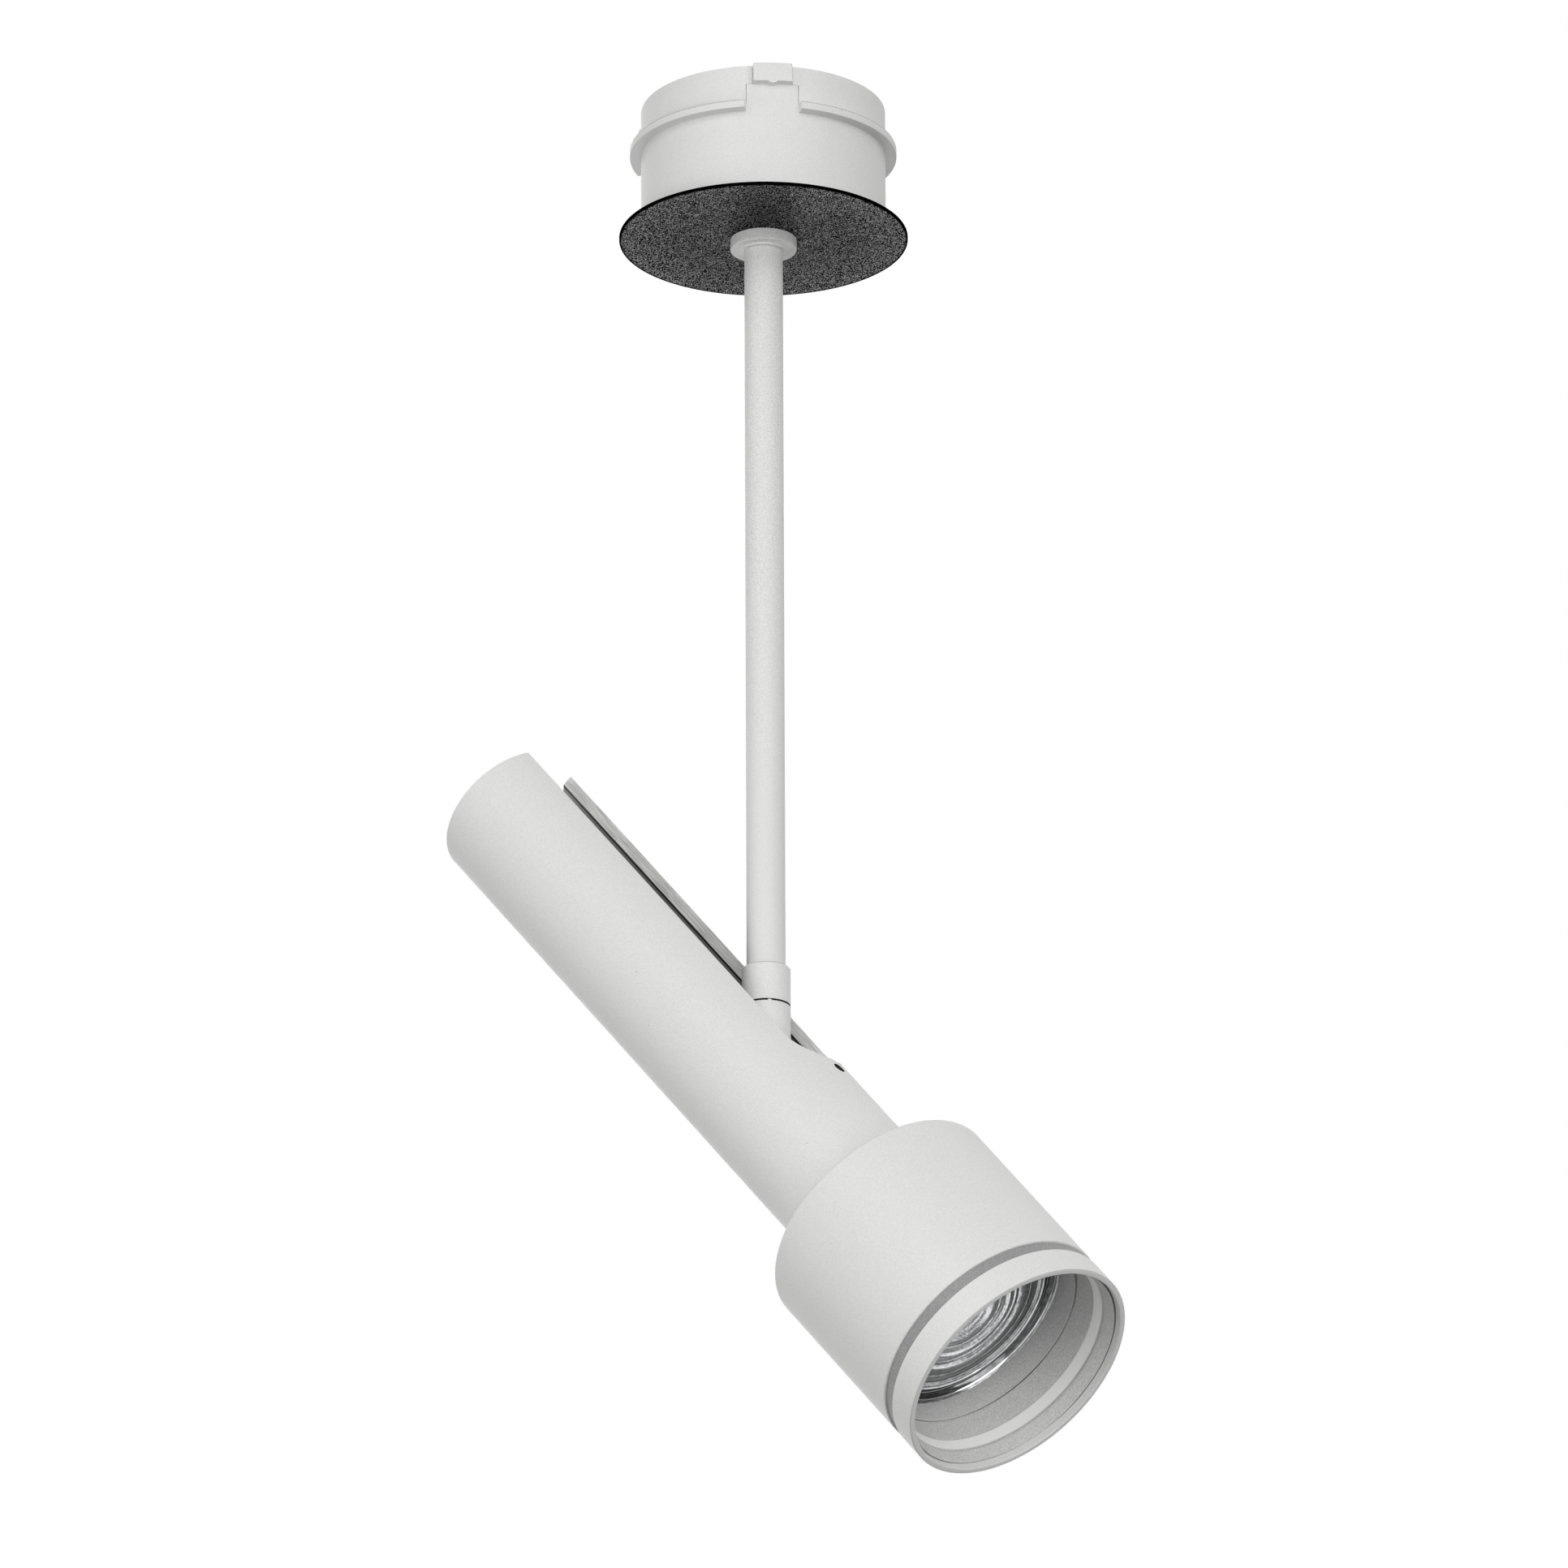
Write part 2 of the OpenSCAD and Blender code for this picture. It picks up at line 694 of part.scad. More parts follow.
// Tilt bolt across the cheeks, its head on the side of +Y in the lamp's frame
module pivot_bolt() {
    color(steel)
        lamp_frame()
            rotate([-90, 0, 0])
                difference() {
                    union() {
                        hole(bolt_r, -cheek_out - bolt_head_t, cheek_out);
                        hole(bolt_head_r, cheek_out, cheek_out + bolt_head_t);
                    }
                    translate([0, 0, cheek_out + bolt_head_t / 2])
                        cylinder(r = socket_share * bolt_head_r, h = bolt_head_t, $fn = 6);
                }
}

module pivot_nut() {
    color(steel)
        lamp_frame()
            rotate([90, 0, 0])
                difference() {
                    translate([0, 0, cheek_out])
                        cylinder(r = bolt_head_r, h = 1.4 * bolt_head_t, $fn = 6);
                    hole(bolt_r + fit, cheek_out - over, cheek_out + 2 * bolt_head_t);
                }
}

// Set screw that holds the yoke in the tube
module hinge_screw() {
    color(steel)
        lamp_frame()
            translate([tube_bore_r + screw_sunk - screw_len, screw_side, screw_ahead])
                rotate([0, 90, 0])
                    difference() {
                        cylinder(r = screw_r, h = screw_len);
                        translate([0, 0, screw_len - screw_r])
                            cylinder(r = socket_share * screw_r, h = 2 * screw_r, $fn = 6);
                    }
}

// Plug pressed into the tube's front end, with a hollow nipple through the head's back wall
module tube_plug() {
    color(raw_alu)
        lamp_frame()
            difference() {
                union() {
                    hole(tube_bore_r - fit, shell_back - plug_len, shell_back);
                    hole(nipple_r, shell_back - over, nipple_front);
                }
                hole(wire_r, shell_back - plug_len - over, nipple_front + over);
            }
}

// Head shell with a back wall and a sleeve that carries the diffuser ring
module head_shell() {
    sleeve_r = ring_step_r - fit;
    sleeve_front = shell_front + ring_shift;
    color(white_coat)
        lamp_frame()
            difference() {
                rotate_extrude()
                    polygon(concat(
                        [[0, shell_back]],
                        arc([head_r - back_round, shell_back + back_round], back_round, -90, 0),
                        [[head_r, shell_front - edge / 2], [head_r - edge / 2, shell_front],
                            [sleeve_r, shell_front], [sleeve_r, sleeve_front],
                            [shell_bore_r, sleeve_front], [shell_bore_r, sink_back],
                            [shell_bore_r - sink_shoulder, sink_back],
                            [shell_bore_r - sink_shoulder, shell_back + back_wall],
                            [0, shell_back + back_wall]]));
                hole(nipple_r + fit, shell_back - over, shell_back + back_wall + over);
                for (a = post_angles)
                    rotate([0, 0, a])
                        translate([post_ring, 0, 0]) {
                            hole(m3_r + screw_fit, shell_back - over, shell_back + back_wall + over);
                            hole(m3_head_r + screw_fit, shell_back - over, shell_back + m3_head_t);
                        }
            }
}

// Ring nut on the nipple, inside the head
module tube_nut() {
    z0 = shell_back + back_wall;
    notch_w = tube_nut_rim;
    color(raw_alu)
        lamp_frame()
            difference() {
                tube(nipple_r + tube_nut_rim, nipple_r + fit, z0, z0 + tube_nut_t);
                for (i = [0:nut_notches - 1])
                    rotate([0, 0, i * 360 / nut_notches])
                        translate([nipple_r + tube_nut_rim / 2, -notch_w / 2, z0 + tube_nut_t / 2])
                            cube([tube_nut_rim, notch_w, tube_nut_t]);
            }
}

// Socket screws from the back wall into the heat sink's posts
module head_screws() {
    sunk_t = m3_head_t - 2 * fit;
    color(zinc)
        lamp_frame()
            for (a = post_angles)
                rotate([0, 0, a])
                    translate([post_ring, 0, shell_back + m3_head_t])
                        difference() {
                            union() {
                                translate([0, 0, -sunk_t]) cylinder(r = m3_head_r, h = sunk_t);
                                cylinder(r = m3_r, h = 3 * back_wall);
                            }
                            translate([0, 0, -1.5 * sunk_t])
                                cylinder(r = socket_share * m3_head_r, h = sunk_t, $fn = 6);
                        }
}

// Finned heat sink seated on the shell's shoulder
module heat_sink() {
    fin_r = shell_bore_r - sink_shoulder - 10 * fit;
    color(raw_alu)
        lamp_frame()
            difference() {
                union() {
                    hole(shell_bore_r - fit, sink_back, sink_front);
                    hole(core_r, fin_start, sink_back + over);
                    intersection() {
                        hole(fin_r, fin_start, sink_back + over);
                        for (i = [0:fin_count - 1])
                            rotate([0, 0, (i + 0.5) * 360 / fin_count])
                                translate([0, -fin_t / 2, fin_start])
                                    cube([head_r, fin_t, sink_back + over - fin_start]);
                    }
                    for (a = post_angles)
                        rotate([0, 0, a])
                            translate([post_ring, 0, 0])
                                hole(post_r, shell_back + back_wall, sink_back + over);
                }
                for (a = post_angles)
                    rotate([0, 0, a])
                        translate([post_ring, 0, 0])
                            hole(m3_r + fit, shell_back + back_wall - over,
                                shell_back + m3_head_t + 3 * back_wall + over);
                for (a = post_angles)
                    rotate([0, 0, a + 60])
                        translate([board_screw_ring, 0, 0])
                            hole(m3_r + fit, sink_back - over, sink_front + over);
                hole(wire_r / 2, fin_start - over, sink_front + over);
            }
}

module led_board() {
    color(white_plastic)
        lamp_frame()
            difference() {
                hole(board_r, board_back, board_front);
                hole(wire_r / 2, board_back - over, board_front + over);
                for (a = post_angles)
                    rotate([0, 0, a + 60])
                        translate([board_screw_ring, 0, 0])
                            hole(m3_r + screw_fit, board_back - over, board_front + over);
            }
}

module board_screws() {
    color(zinc)
        lamp_frame()
            for (a = post_angles)
                rotate([0, 0, a + 60])
                    translate([board_screw_ring, 0, board_front])
                        pan_screw(m3_r, 1.7 * m3_r, m3_head_t, board_t + 0.7 * sink_base_t);
}

// Light source: a ceramic square under a round emitting surface
module led_emitter() {
    base = led_r + led_base_rim;
    color(phosphor)
        lamp_frame()
            union() {
                translate([-base, -base, board_front]) cube([2 * base, 2 * base, led_t / 2]);
                hole(led_r, board_front, board_front + led_t);
            }
}

// White holder that presses the light source onto the board
module led_holder() {
    in_r = (led_r + led_base_rim) * sqrt(2) + holder_gap;
    out_r = in_r + holder_rim / 2;
    color(white_plastic)
        lamp_frame()
            rotate_extrude()
                polygon(concat([[in_r, board_front], [out_r, board_front]],
                    arc([out_r - edge, board_front + holder_t / 2 - edge], edge, 0, 90),
                    [[in_r, board_front + holder_t / 2]]));
}

// Ring that carries the lens above the board
module lens_seat() {
    color(white_plastic)
        lamp_frame()
            tube(shell_bore_r - fit, shell_bore_r - seat_wall, sink_front, lens_front - lens_flange_t);
}

// Stepped front of the lens: a small central dome and rings that fall outwards
function lens_front_points() = concat(
    arc([0, lens_front - lens_flange_t / 2 - 2 * lens_step], lens_ring_shares[0] * lens_clear_r,
        90, 20),
    [for (i = [0:len(lens_ring_shares) - 1]) for (k = [0:len(ring_place_shares) - 1])
        let (r0 = lens_ring_shares[i],
            r1 = i < len(lens_ring_shares) - 1 ? lens_ring_shares[i + 1] : 1)
        [(r0 + (r1 - r0) * ring_place_shares[k]) * lens_clear_r,
            lens_front - lens_flange_t + ring_rise_shares[k] * lens_step]]);

// Toothed back of the lens: sharp rings with a hollow over the light source
function lens_back_points() = [for (i = [len(lens_ring_shares) - 1:-1:1]) for (k = [0, 1])
    let (r0 = lens_ring_shares[i - 1], r1 = lens_ring_shares[i])
    [(k == 0 ? r1 : r0 + 0.12 * (r1 - r0)) * lens_clear_r,
        lens_back + (k == 0 ? lens_tooth * (0.25 + 0.15 * i) : 0)]];

module lens() {
    rim_front = lens_front - lens_flange_t / 3;
    rim_back = lens_front - lens_flange_t + fit;
    color(clear)
        lamp_frame()
            rotate_extrude()
                polygon(concat(lens_front_points(),
                    [[lens_clear_r, rim_front], [lens_r, rim_front],
                        [lens_r, rim_back], [lens_clear_r, rim_back],
                        [0.97 * lens_clear_r, lens_front - lens_t / 2]],
                    lens_back_points(),
                    [[0, lens_back + lens_tooth * 0.8]]));
}

// Baffle ring that holds the lens down and cuts glare
module baffle_ring() {
    z1 = rim - baffle_depth;
    color(white_coat)
        lamp_frame()
            rotate_extrude()
                polygon([[shell_bore_r - baffle_wall, lens_front], [shell_bore_r - fit, lens_front],
                    [shell_bore_r - fit, z1 - edge / 2], [shell_bore_r - 2 * fit - edge / 4, z1],
                    [shell_bore_r - baffle_wall + edge / 4, z1],
                    [shell_bore_r - baffle_wall, z1 - edge / 2]]);
}

// Opal ring between shell and bezel: an outer band and an inner band further forward
module diffuser_ring() {
    z0 = shell_front;
    z1 = bezel_back;
    color(ring_grey)
        lamp_frame()
            rotate_extrude()
                polygon([[ring_in_r, z0 + ring_shift], [ring_step_r, z0 + ring_shift],
                    [ring_step_r, z0], [ring_out_r, z0], [ring_out_r, z1], [ring_step_r, z1],
                    [ring_step_r, z1 + ring_shift], [ring_in_r, z1 + ring_shift]]);
}

// Front bezel with a rim, a small step and a tapered lip inside
module front_bezel() {
    z0 = bezel_back;
    lip_z = bezel_back + ring_shift;
    step_z = rim - trim_depth;
    color(white_coat)
        lamp_frame()
            rotate_extrude()
                polygon(concat(
                    [[ring_step_r + fit, z0], [head_r - edge / 2, z0], [head_r, z0 + edge / 2]],
                    arc([head_r - edge, rim - edge], edge, 0, 90),
                    arc([recess_r + edge, rim - edge], edge, 90, 180),
                    [[recess_r, step_z + edge], [recess_r - trim_step, step_z],
                        [ring_in_r, lip_z + shade_share * bezel_len], [ring_in_r, lip_z],
                        [ring_step_r + fit, lip_z]]));
}

recess_cup();
latch_front();
latch_left();
latch_right();
cup_lid();
lid_screws();
cable_grommet();
led_driver();
terminal_block();
terminal_screws();
cable_clamp();
clamp_screws();
cover_disc();
stem_flange();
stem_tube();
lock_washer();
stem_locknut();
swivel_collar();
swivel_spigot();
friction_washer();
swivel_knuckle();
body_tube();
hinge_yoke();
pivot_washers();
pivot_bolt();
pivot_nut();
hinge_screw();
tube_plug();
head_shell();
tube_nut();
head_screws();
heat_sink();
led_board();
board_screws();
led_emitter();
led_holder();
lens_seat();
lens();
baffle_ring();
diffuser_ring();
front_bezel();
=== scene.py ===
# Looks of a semi-recessed spotlight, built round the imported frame.
# Lengths in the dictionaries are millimetres unless a note says otherwise.
import json
import math

import bmesh
import bpy
import numpy as np
from mathutils import Matrix, Vector


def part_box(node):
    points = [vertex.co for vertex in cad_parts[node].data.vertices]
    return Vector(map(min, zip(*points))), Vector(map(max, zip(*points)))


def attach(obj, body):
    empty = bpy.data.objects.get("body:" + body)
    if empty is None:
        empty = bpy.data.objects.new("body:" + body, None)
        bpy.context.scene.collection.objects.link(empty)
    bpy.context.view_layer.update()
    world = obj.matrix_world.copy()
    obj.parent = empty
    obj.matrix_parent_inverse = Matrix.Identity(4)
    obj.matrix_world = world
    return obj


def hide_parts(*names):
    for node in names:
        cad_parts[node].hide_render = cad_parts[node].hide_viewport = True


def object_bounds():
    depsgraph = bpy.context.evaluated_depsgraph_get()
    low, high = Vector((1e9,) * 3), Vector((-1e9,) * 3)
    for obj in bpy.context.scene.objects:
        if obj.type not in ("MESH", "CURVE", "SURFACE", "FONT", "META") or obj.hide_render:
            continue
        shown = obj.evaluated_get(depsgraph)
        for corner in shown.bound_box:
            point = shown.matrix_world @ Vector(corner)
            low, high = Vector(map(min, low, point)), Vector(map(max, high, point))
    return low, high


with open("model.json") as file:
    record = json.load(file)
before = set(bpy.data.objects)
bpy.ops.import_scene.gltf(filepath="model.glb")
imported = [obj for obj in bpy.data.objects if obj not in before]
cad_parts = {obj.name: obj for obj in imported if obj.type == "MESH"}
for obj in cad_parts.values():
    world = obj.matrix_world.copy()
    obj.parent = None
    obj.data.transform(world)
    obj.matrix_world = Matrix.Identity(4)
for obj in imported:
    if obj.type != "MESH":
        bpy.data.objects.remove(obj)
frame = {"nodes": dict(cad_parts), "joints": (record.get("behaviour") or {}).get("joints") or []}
cadLow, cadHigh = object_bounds()
nodes = frame["nodes"]
mm = 0.001
print("frame loaded:", len(nodes), "nodes")


# From sRGB hex to linear light
def linear(code):
    parts = [int(code[i:i + 2], 16) / 255 for i in (1, 3, 5)]
    return tuple(c / 12.92 if c <= 0.04045 else ((c + 0.055) / 1.055) ** 2.4 for c in parts) + (1,)


# The target is a tree, or one of its nodes or sockets
def addNode(target, kind, values=None, links=None, **settings):
    tree = target.id_data
    node = tree.nodes.new(kind)
    for name, value in settings.items():
        setattr(node, name, value)
    for socket, value in (values or {}).items():
        node.inputs[socket].default_value = value
    for socket, source in (links or {}).items():
        tree.links.new(source, node.inputs[socket])
    return node


def emptyTree(owner):
    owner.use_nodes = True
    owner.node_tree.nodes.clear()
    return owner.node_tree


def makeMesh(name, points, faces):
    mesh = bpy.data.meshes.new(name)
    mesh.from_pydata(points, [], faces)
    return mesh


def addObject(name, data):
    thing = bpy.data.objects.new(name, data)
    bpy.context.scene.collection.objects.link(thing)
    return thing


def calculate(operation, first, second=0.0):
    node = addNode(first, "ShaderNodeMath", links={0: first}, operation=operation)
    if isinstance(second, (int, float)):
        node.inputs[1].default_value = second
    else:
        first.id_data.links.new(second, node.inputs[1])
    return node.outputs[0]


def times(product, *factors):
    for factor in factors:
        product = calculate("MULTIPLY", product, factor)
    return product


def above(value, limit):
    return calculate("GREATER_THAN", value, limit)


def below(value, limit):
    return calculate("LESS_THAN", value, limit)


def ramp(value, low, high, toLow=0.0, toHigh=1.0):
    limits = {"From Min": low, "From Max": high, "To Min": toLow, "To Max": toHigh}
    return addNode(value, "ShaderNodeMapRange", limits, {"Value": value}).outputs["Result"]


# Each of the two colours is a hex code or a socket
def blendColors(factor, first, second):
    mix = addNode(factor, "ShaderNodeMix", links={0: factor}, data_type="RGBA")
    for socket, color in ((6, first), (7, second)):
        if isinstance(color, str):
            mix.inputs[socket].default_value = linear(color)
        else:
            factor.id_data.links.new(color, mix.inputs[socket])
    return mix.outputs[2]


def feed(shader, name, source):
    shader.id_data.links.new(source, shader.inputs[name])


def separate(place):
    return addNode(place, "ShaderNodeSeparateXYZ", links={0: place}).outputs


def fromAxis(x, y):
    return calculate("SQRT", calculate("ADD", calculate("POWER", x, 2.0), calculate("POWER", y, 2.0)))


# Camera
view = {
    "azimuth": 31.5,  # degrees, 0 looks along +Y
    "elevation": -20.825,  # below the lamp, looking up
    "roll": 0.228,
    "distance": 4217.13,  # to the plane of the cover disc's centre
    "right": 5.33,  # image centre from the disc's centre, along the image
    "down": 141.94,
    "imagePixels": 1932,
    "focalPixels": 20000,
    "sensor": 36,
    "clipEnd": 100000,
}


def placeCamera():
    turn = Matrix.Rotation(math.radians(view["azimuth"]), 3, "Z")
    pitch = math.radians(-view["elevation"])
    roll = math.radians(view["roll"])
    forward = turn @ Vector((0, math.cos(pitch), math.sin(pitch)))
    level = turn @ Vector((1, 0, 0))
    drop = forward.cross(level)
    right = math.cos(roll) * level + math.sin(roll) * drop
    down = math.cos(roll) * drop - math.sin(roll) * level
    spot = (view["right"] * right + view["down"] * down - view["distance"] * forward) * mm
    data = bpy.data.cameras.new("camera")
    data.sensor_width = view["sensor"]
    data.lens = view["sensor"] * view["focalPixels"] / view["imagePixels"]
    data.clip_end = view["clipEnd"] * mm
    camera = addObject("camera", data)
    camera.matrix_world = Matrix.Translation(spot) @ Matrix((right, -down, -forward)).transposed().to_4x4()
    bpy.context.scene.camera = camera


placeCamera()
print("camera placed")

# Light: a white backdrop behind the lamp, a broad soft panel on the right, one low on the left,
# a weaker one above the camera and two weak ones behind
light = {
    "ambient": 0.315,  # world strength on the object, where 1 is white
    "tilt": 0.8,  # share by which the room is lighter towards the backdrop
    "tiltAzimuth": 206,
    "tiltElevation": 20,
    "panels": {  # side in mm, watts, azimuth and elevation in degrees, distance in mm
        "rightPanel": (3000, 72, 52, 0, 3400),
        "leftPanel": (2400, 36, -40, -30, 3400),
        "frontPanel": (2400, 27, 6, 20, 3400),
        "backPanel": (1500, 8, 211.5, -20, 3000),
        "rearPanel": (2400, 14, 225, 25, 3400),
    },
    "floorDrop": 5200,  # floor below the lamp
    "floorRadius": 15000,
    "floorSides": 180,
    "floorColor": "#D2D2D0",
    "floorGlow": 0.4,  # lifts the floor to a pale tone where the camera sees it
    "floorBounce": "#7C7C7B",  # what the floor throws back at the lamp
}


def towards(azimuth, elevation):
    a, e = math.radians(azimuth), math.radians(elevation)
    return Vector((math.sin(a) * math.cos(e), -math.cos(a) * math.cos(e), math.sin(e)))


def lightWorld():
    world = bpy.data.worlds.new("studio")
    tree = emptyTree(world)
    path = addNode(tree, "ShaderNodeLightPath").outputs
    seen = calculate("MAXIMUM", calculate("MAXIMUM", path["Is Camera Ray"], path["Is Glossy Ray"]),
                     path["Is Transmission Ray"])
    spot = addNode(tree, "ShaderNodeTexCoord")
    side = addNode(tree, "ShaderNodeVectorMath", {1: towards(light["tiltAzimuth"], light["tiltElevation"])},
                   {0: spot.outputs["Generated"]}, operation="DOT_PRODUCT")
    ambient = ramp(side.outputs["Value"], -1, 1, light["ambient"] * (1 - light["tilt"]),
                   light["ambient"] * (1 + light["tilt"]))
    level = addNode(tree, "ShaderNodeMapRange", {"To Max": 1.0}, {"Value": seen, "To Min": ambient})
    back = addNode(tree, "ShaderNodeBackground", {"Color": (1, 1, 1, 1)},
                   {"Strength": level.outputs["Result"]})
    addNode(tree, "ShaderNodeOutputWorld", links={"Surface": back.outputs[0]})
    bpy.context.scene.world = world


def addPanel(name, size, watts, azimuth, elevation, distance):
    toLight = towards(azimuth, elevation)
    data = bpy.data.lights.new(name, "AREA")
    data.shape = "SQUARE"
    data.size = size * mm
    data.energy = watts
    lamp = addObject(name, data)
    lamp.location = (cadLow + cadHigh) / 2 + toLight * distance * mm
    lamp.rotation_euler = (-toLight).to_track_quat("-Z", "Y").to_euler()
    lamp.visible_camera = False


def addFloor():
    radius, sides = light["floorRadius"] * mm, light["floorSides"]
    turns = np.linspace(0, 2 * math.pi, sides, endpoint=False)
    rim = [(radius * math.cos(t), radius * math.sin(t), 0) for t in turns]
    floor = addObject("floor", makeMesh("floor", rim, [tuple(range(sides))]))
    floor.location.z = cadLow.z - light["floorDrop"] * mm
    paint = bpy.data.materials.new("paleFloor")
    tree = emptyTree(paint)
    path = addNode(tree, "ShaderNodeLightPath").outputs
    tone = blendColors(path["Is Camera Ray"], light["floorBounce"], light["floorColor"])
    matt = addNode(tree, "ShaderNodeBsdfDiffuse", links={"Color": tone})
    pale = addNode(tree, "ShaderNodeEmission", {"Color": linear(light["floorColor"])},
                   {"Strength": times(path["Is Camera Ray"], light["floorGlow"])})
    lit = addNode(tree, "ShaderNodeAddShader", links={0: matt.outputs[0], 1: pale.outputs[0]})
    glow = addNode(tree, "ShaderNodeEmission", {"Color": (1, 1, 1, 1), "Strength": 1})
    mix = addNode(tree, "ShaderNodeMixShader",
                  links={0: path["Is Glossy Ray"], 1: lit.outputs[0], 2: glow.outputs[0]})
    addNode(tree, "ShaderNodeOutputMaterial", links={"Surface": mix.outputs[0]})
    floor.data.materials.append(paint)


lightWorld()
for name, values in light["panels"].items():
    addPanel(name, *values)
addFloor()
bpy.context.scene.view_settings.view_transform = "Standard"
print("light set")


# Materials. Every texture works on the piece's own millimetres, so a grain has its real size.
def startMaterial(name, look, metallic=0.0):
    material = bpy.data.materials.new(name)
    tree = emptyTree(material)
    shader = addNode(tree, "ShaderNodeBsdfPrincipled", {"Base Color": linear(look["color"]),
                     "Roughness": look["roughness"], "Metallic": metallic})
    if not metallic:
        shader.inputs["IOR"].default_value = look.get("ior", 1.5)
    addNode(tree, "ShaderNodeOutputMaterial", links={"Surface": shader.outputs[0]})
    spot = addNode(tree, "ShaderNodeTexCoord")
    place = addNode(tree, "ShaderNodeVectorMath", {"Scale": 1 / mm}, {0: spot.outputs["Object"]},
                    operation="SCALE")
    return material, shader, place.outputs[0]


def grain(place, size, detail=2.0, rough=0.5, distortion=0.0):
    noise = addNode(place, "ShaderNodeTexNoise", {"Scale": 1 / size, "Detail": detail,
                    "Roughness": rough, "Distortion": distortion}, {"Vector": place})
    return noise.outputs[0]


midTones = (0.3, 0.7)  # levels that most of a grain lies between


# Colour that swings from shade to color with a grain
def mottle(place, size, shade, color, levels=midTones, detail=2.0, distortion=0.0):
    return blendColors(ramp(grain(place, size, detail, distortion=distortion), *levels), shade, color)


# The same point squeezed along Z, where a grain draws out to lines
def squeeze(place, share):
    mapping = addNode(place, "ShaderNodeMapping", {"Scale": (1.0, 1.0, share)}, {"Vector": place})
    return mapping.outputs[0]


# Heights are millimetres: the bump's distance turns them to metres.
def relief(shader, height):
    bump = addNode(shader, "ShaderNodeBump", {"Strength": 1.0, "Distance": mm}, {"Height": height})
    feed(shader, "Normal", bump.outputs[0])


def dress(material, shader, color, height):
    feed(shader, "Base Color", color)
    relief(shader, height)
    return material


# Polyester powder coat on aluminium and steel: satin, with a faint orange peel from the oven,
# a fine grain and a few nibs of dust under the film.
powderCoat = {
    "color": "#EEEEED",
    "shade": "#E6E6E5",  # darker tone of the grain
    "levels": (0.38, 0.62),  # grain levels at which the two tones are reached
    "nib": "#8E8E8C",
    "roughness": 0.46,
    "glossSize": 6.0,  # patches over which the gloss swings
    "glossSwing": 0.04,
    "peelSize": 1.9,  # real orange peel is 1 to 3 mm from crest to crest
    "peelHeight": 0.010,
    "grainSize": 0.42,  # real grain is about 0.1 mm, drawn coarser so that it shows
    "grainHeight": 0.0022,
    "nibPitch": 8.5,
    "nibRadius": 0.2,
}


def addNibs(place, color, look):
    cells = addNode(place, "ShaderNodeTexVoronoi", {"Scale": 1 / look["nibPitch"]}, {"Vector": place})
    reach = look["nibRadius"] / look["nibPitch"]
    return blendColors(ramp(cells.outputs["Distance"], reach, 0.6 * reach), color, look["nib"])


# Share of the grain that is left at a height
def grainLeft(place, look):
    return ramp(separate(place)[2], look["smoothBelow"], look["roughAbove"], look["leastGrain"])


def fineHeight(place, look):
    return times(grain(place, look["grainSize"]), look["grainHeight"])


def coatHeight(place, look):
    peel, fine = times(grain(place, look["peelSize"], 1.0), look["peelHeight"]), fineHeight(place, look)
    if "leastGrain" in look:
        fine = times(fine, grainLeft(place, look))
    return calculate("ADD", peel, fine)


# Painted shade: level bands that darken the coat where shade falls: (low, high, colour, radius outside which
# they show)
def addPaintedShade(place, color, shadeBands):
    # each band is painted shade, darker than the coat around it
    for low, high, tone, radius in shadeBands:
        x, y, height = separate(place)
        inside = times(above(height, low), below(height, high), above(fromAxis(x, y), radius))
        color = blendColors(inside, color, tone)
    return color


def whitePowderCoat(name, look, shadeBands=()):
    material, shader, place = startMaterial(name, look)
    tone = ramp(grain(place, look["grainSize"]), *look["levels"])
    if "leastGrain" in look:
        tone = calculate("ADD", times(calculate("SUBTRACT", tone, 0.5), grainLeft(place, look)), 0.5)
    color = addNibs(place, blendColors(tone, look["shade"], look["color"]), look)
    smooth, rough = look["roughness"] - look["glossSwing"], look["roughness"] + look["glossSwing"]
    feed(shader, "Roughness", ramp(grain(place, look["glossSize"]), *midTones, smooth, rough))
    return dress(material, shader, addPaintedShade(place, color, shadeBands), coatHeight(place, look))


# The same coat on the stem and its flange, sprayed drier: a leathery grain that the light picks out
stemCoat = dict(powderCoat)
stemCoat.update({
    "color": "#F3F3F2",
    "shade": "#DBDBDA",
    "grainSize": 0.28,
    "grainHeight": 0.018,
    "roughness": 0.5,
    "roughAbove": -90,  # the grain dies away downwards
    "smoothBelow": -160,
    "leastGrain": 0.3,
})

# Sand-textured black powder coat: matt and nearly black seen straight on, and covered in bright points where
# the light
# skims it: painted glints in its colour on level faces, with a raised specular level.
sandCoat = {
    "color": "#040404",
    # colour of the painted glints
    "point": "#818183",
    "levels": (0.53, 0.6),
    "dull": 0.0,  # specular level in the hollows and on the grains
    "bright": 0.95,
    "roughness": 0.42,
    "sandSize": 0.3,  # real sand grain is 0.1 to 0.2 mm, drawn coarser so that it shows
    "sandHeight": 0.12,
    "shadeAtStem": 0.57,  # painted shade close to the stem: share of the glints left there
    "stemShadeRadii": (22.0, 36.0),  # radii over which the painted shade fades out
    "bareEdge": (37.1, 36.6),  # the rolled edge has none
    "levelFaces": (0.3, 0.8),  # upright share of the normal from which the painted glints show
}


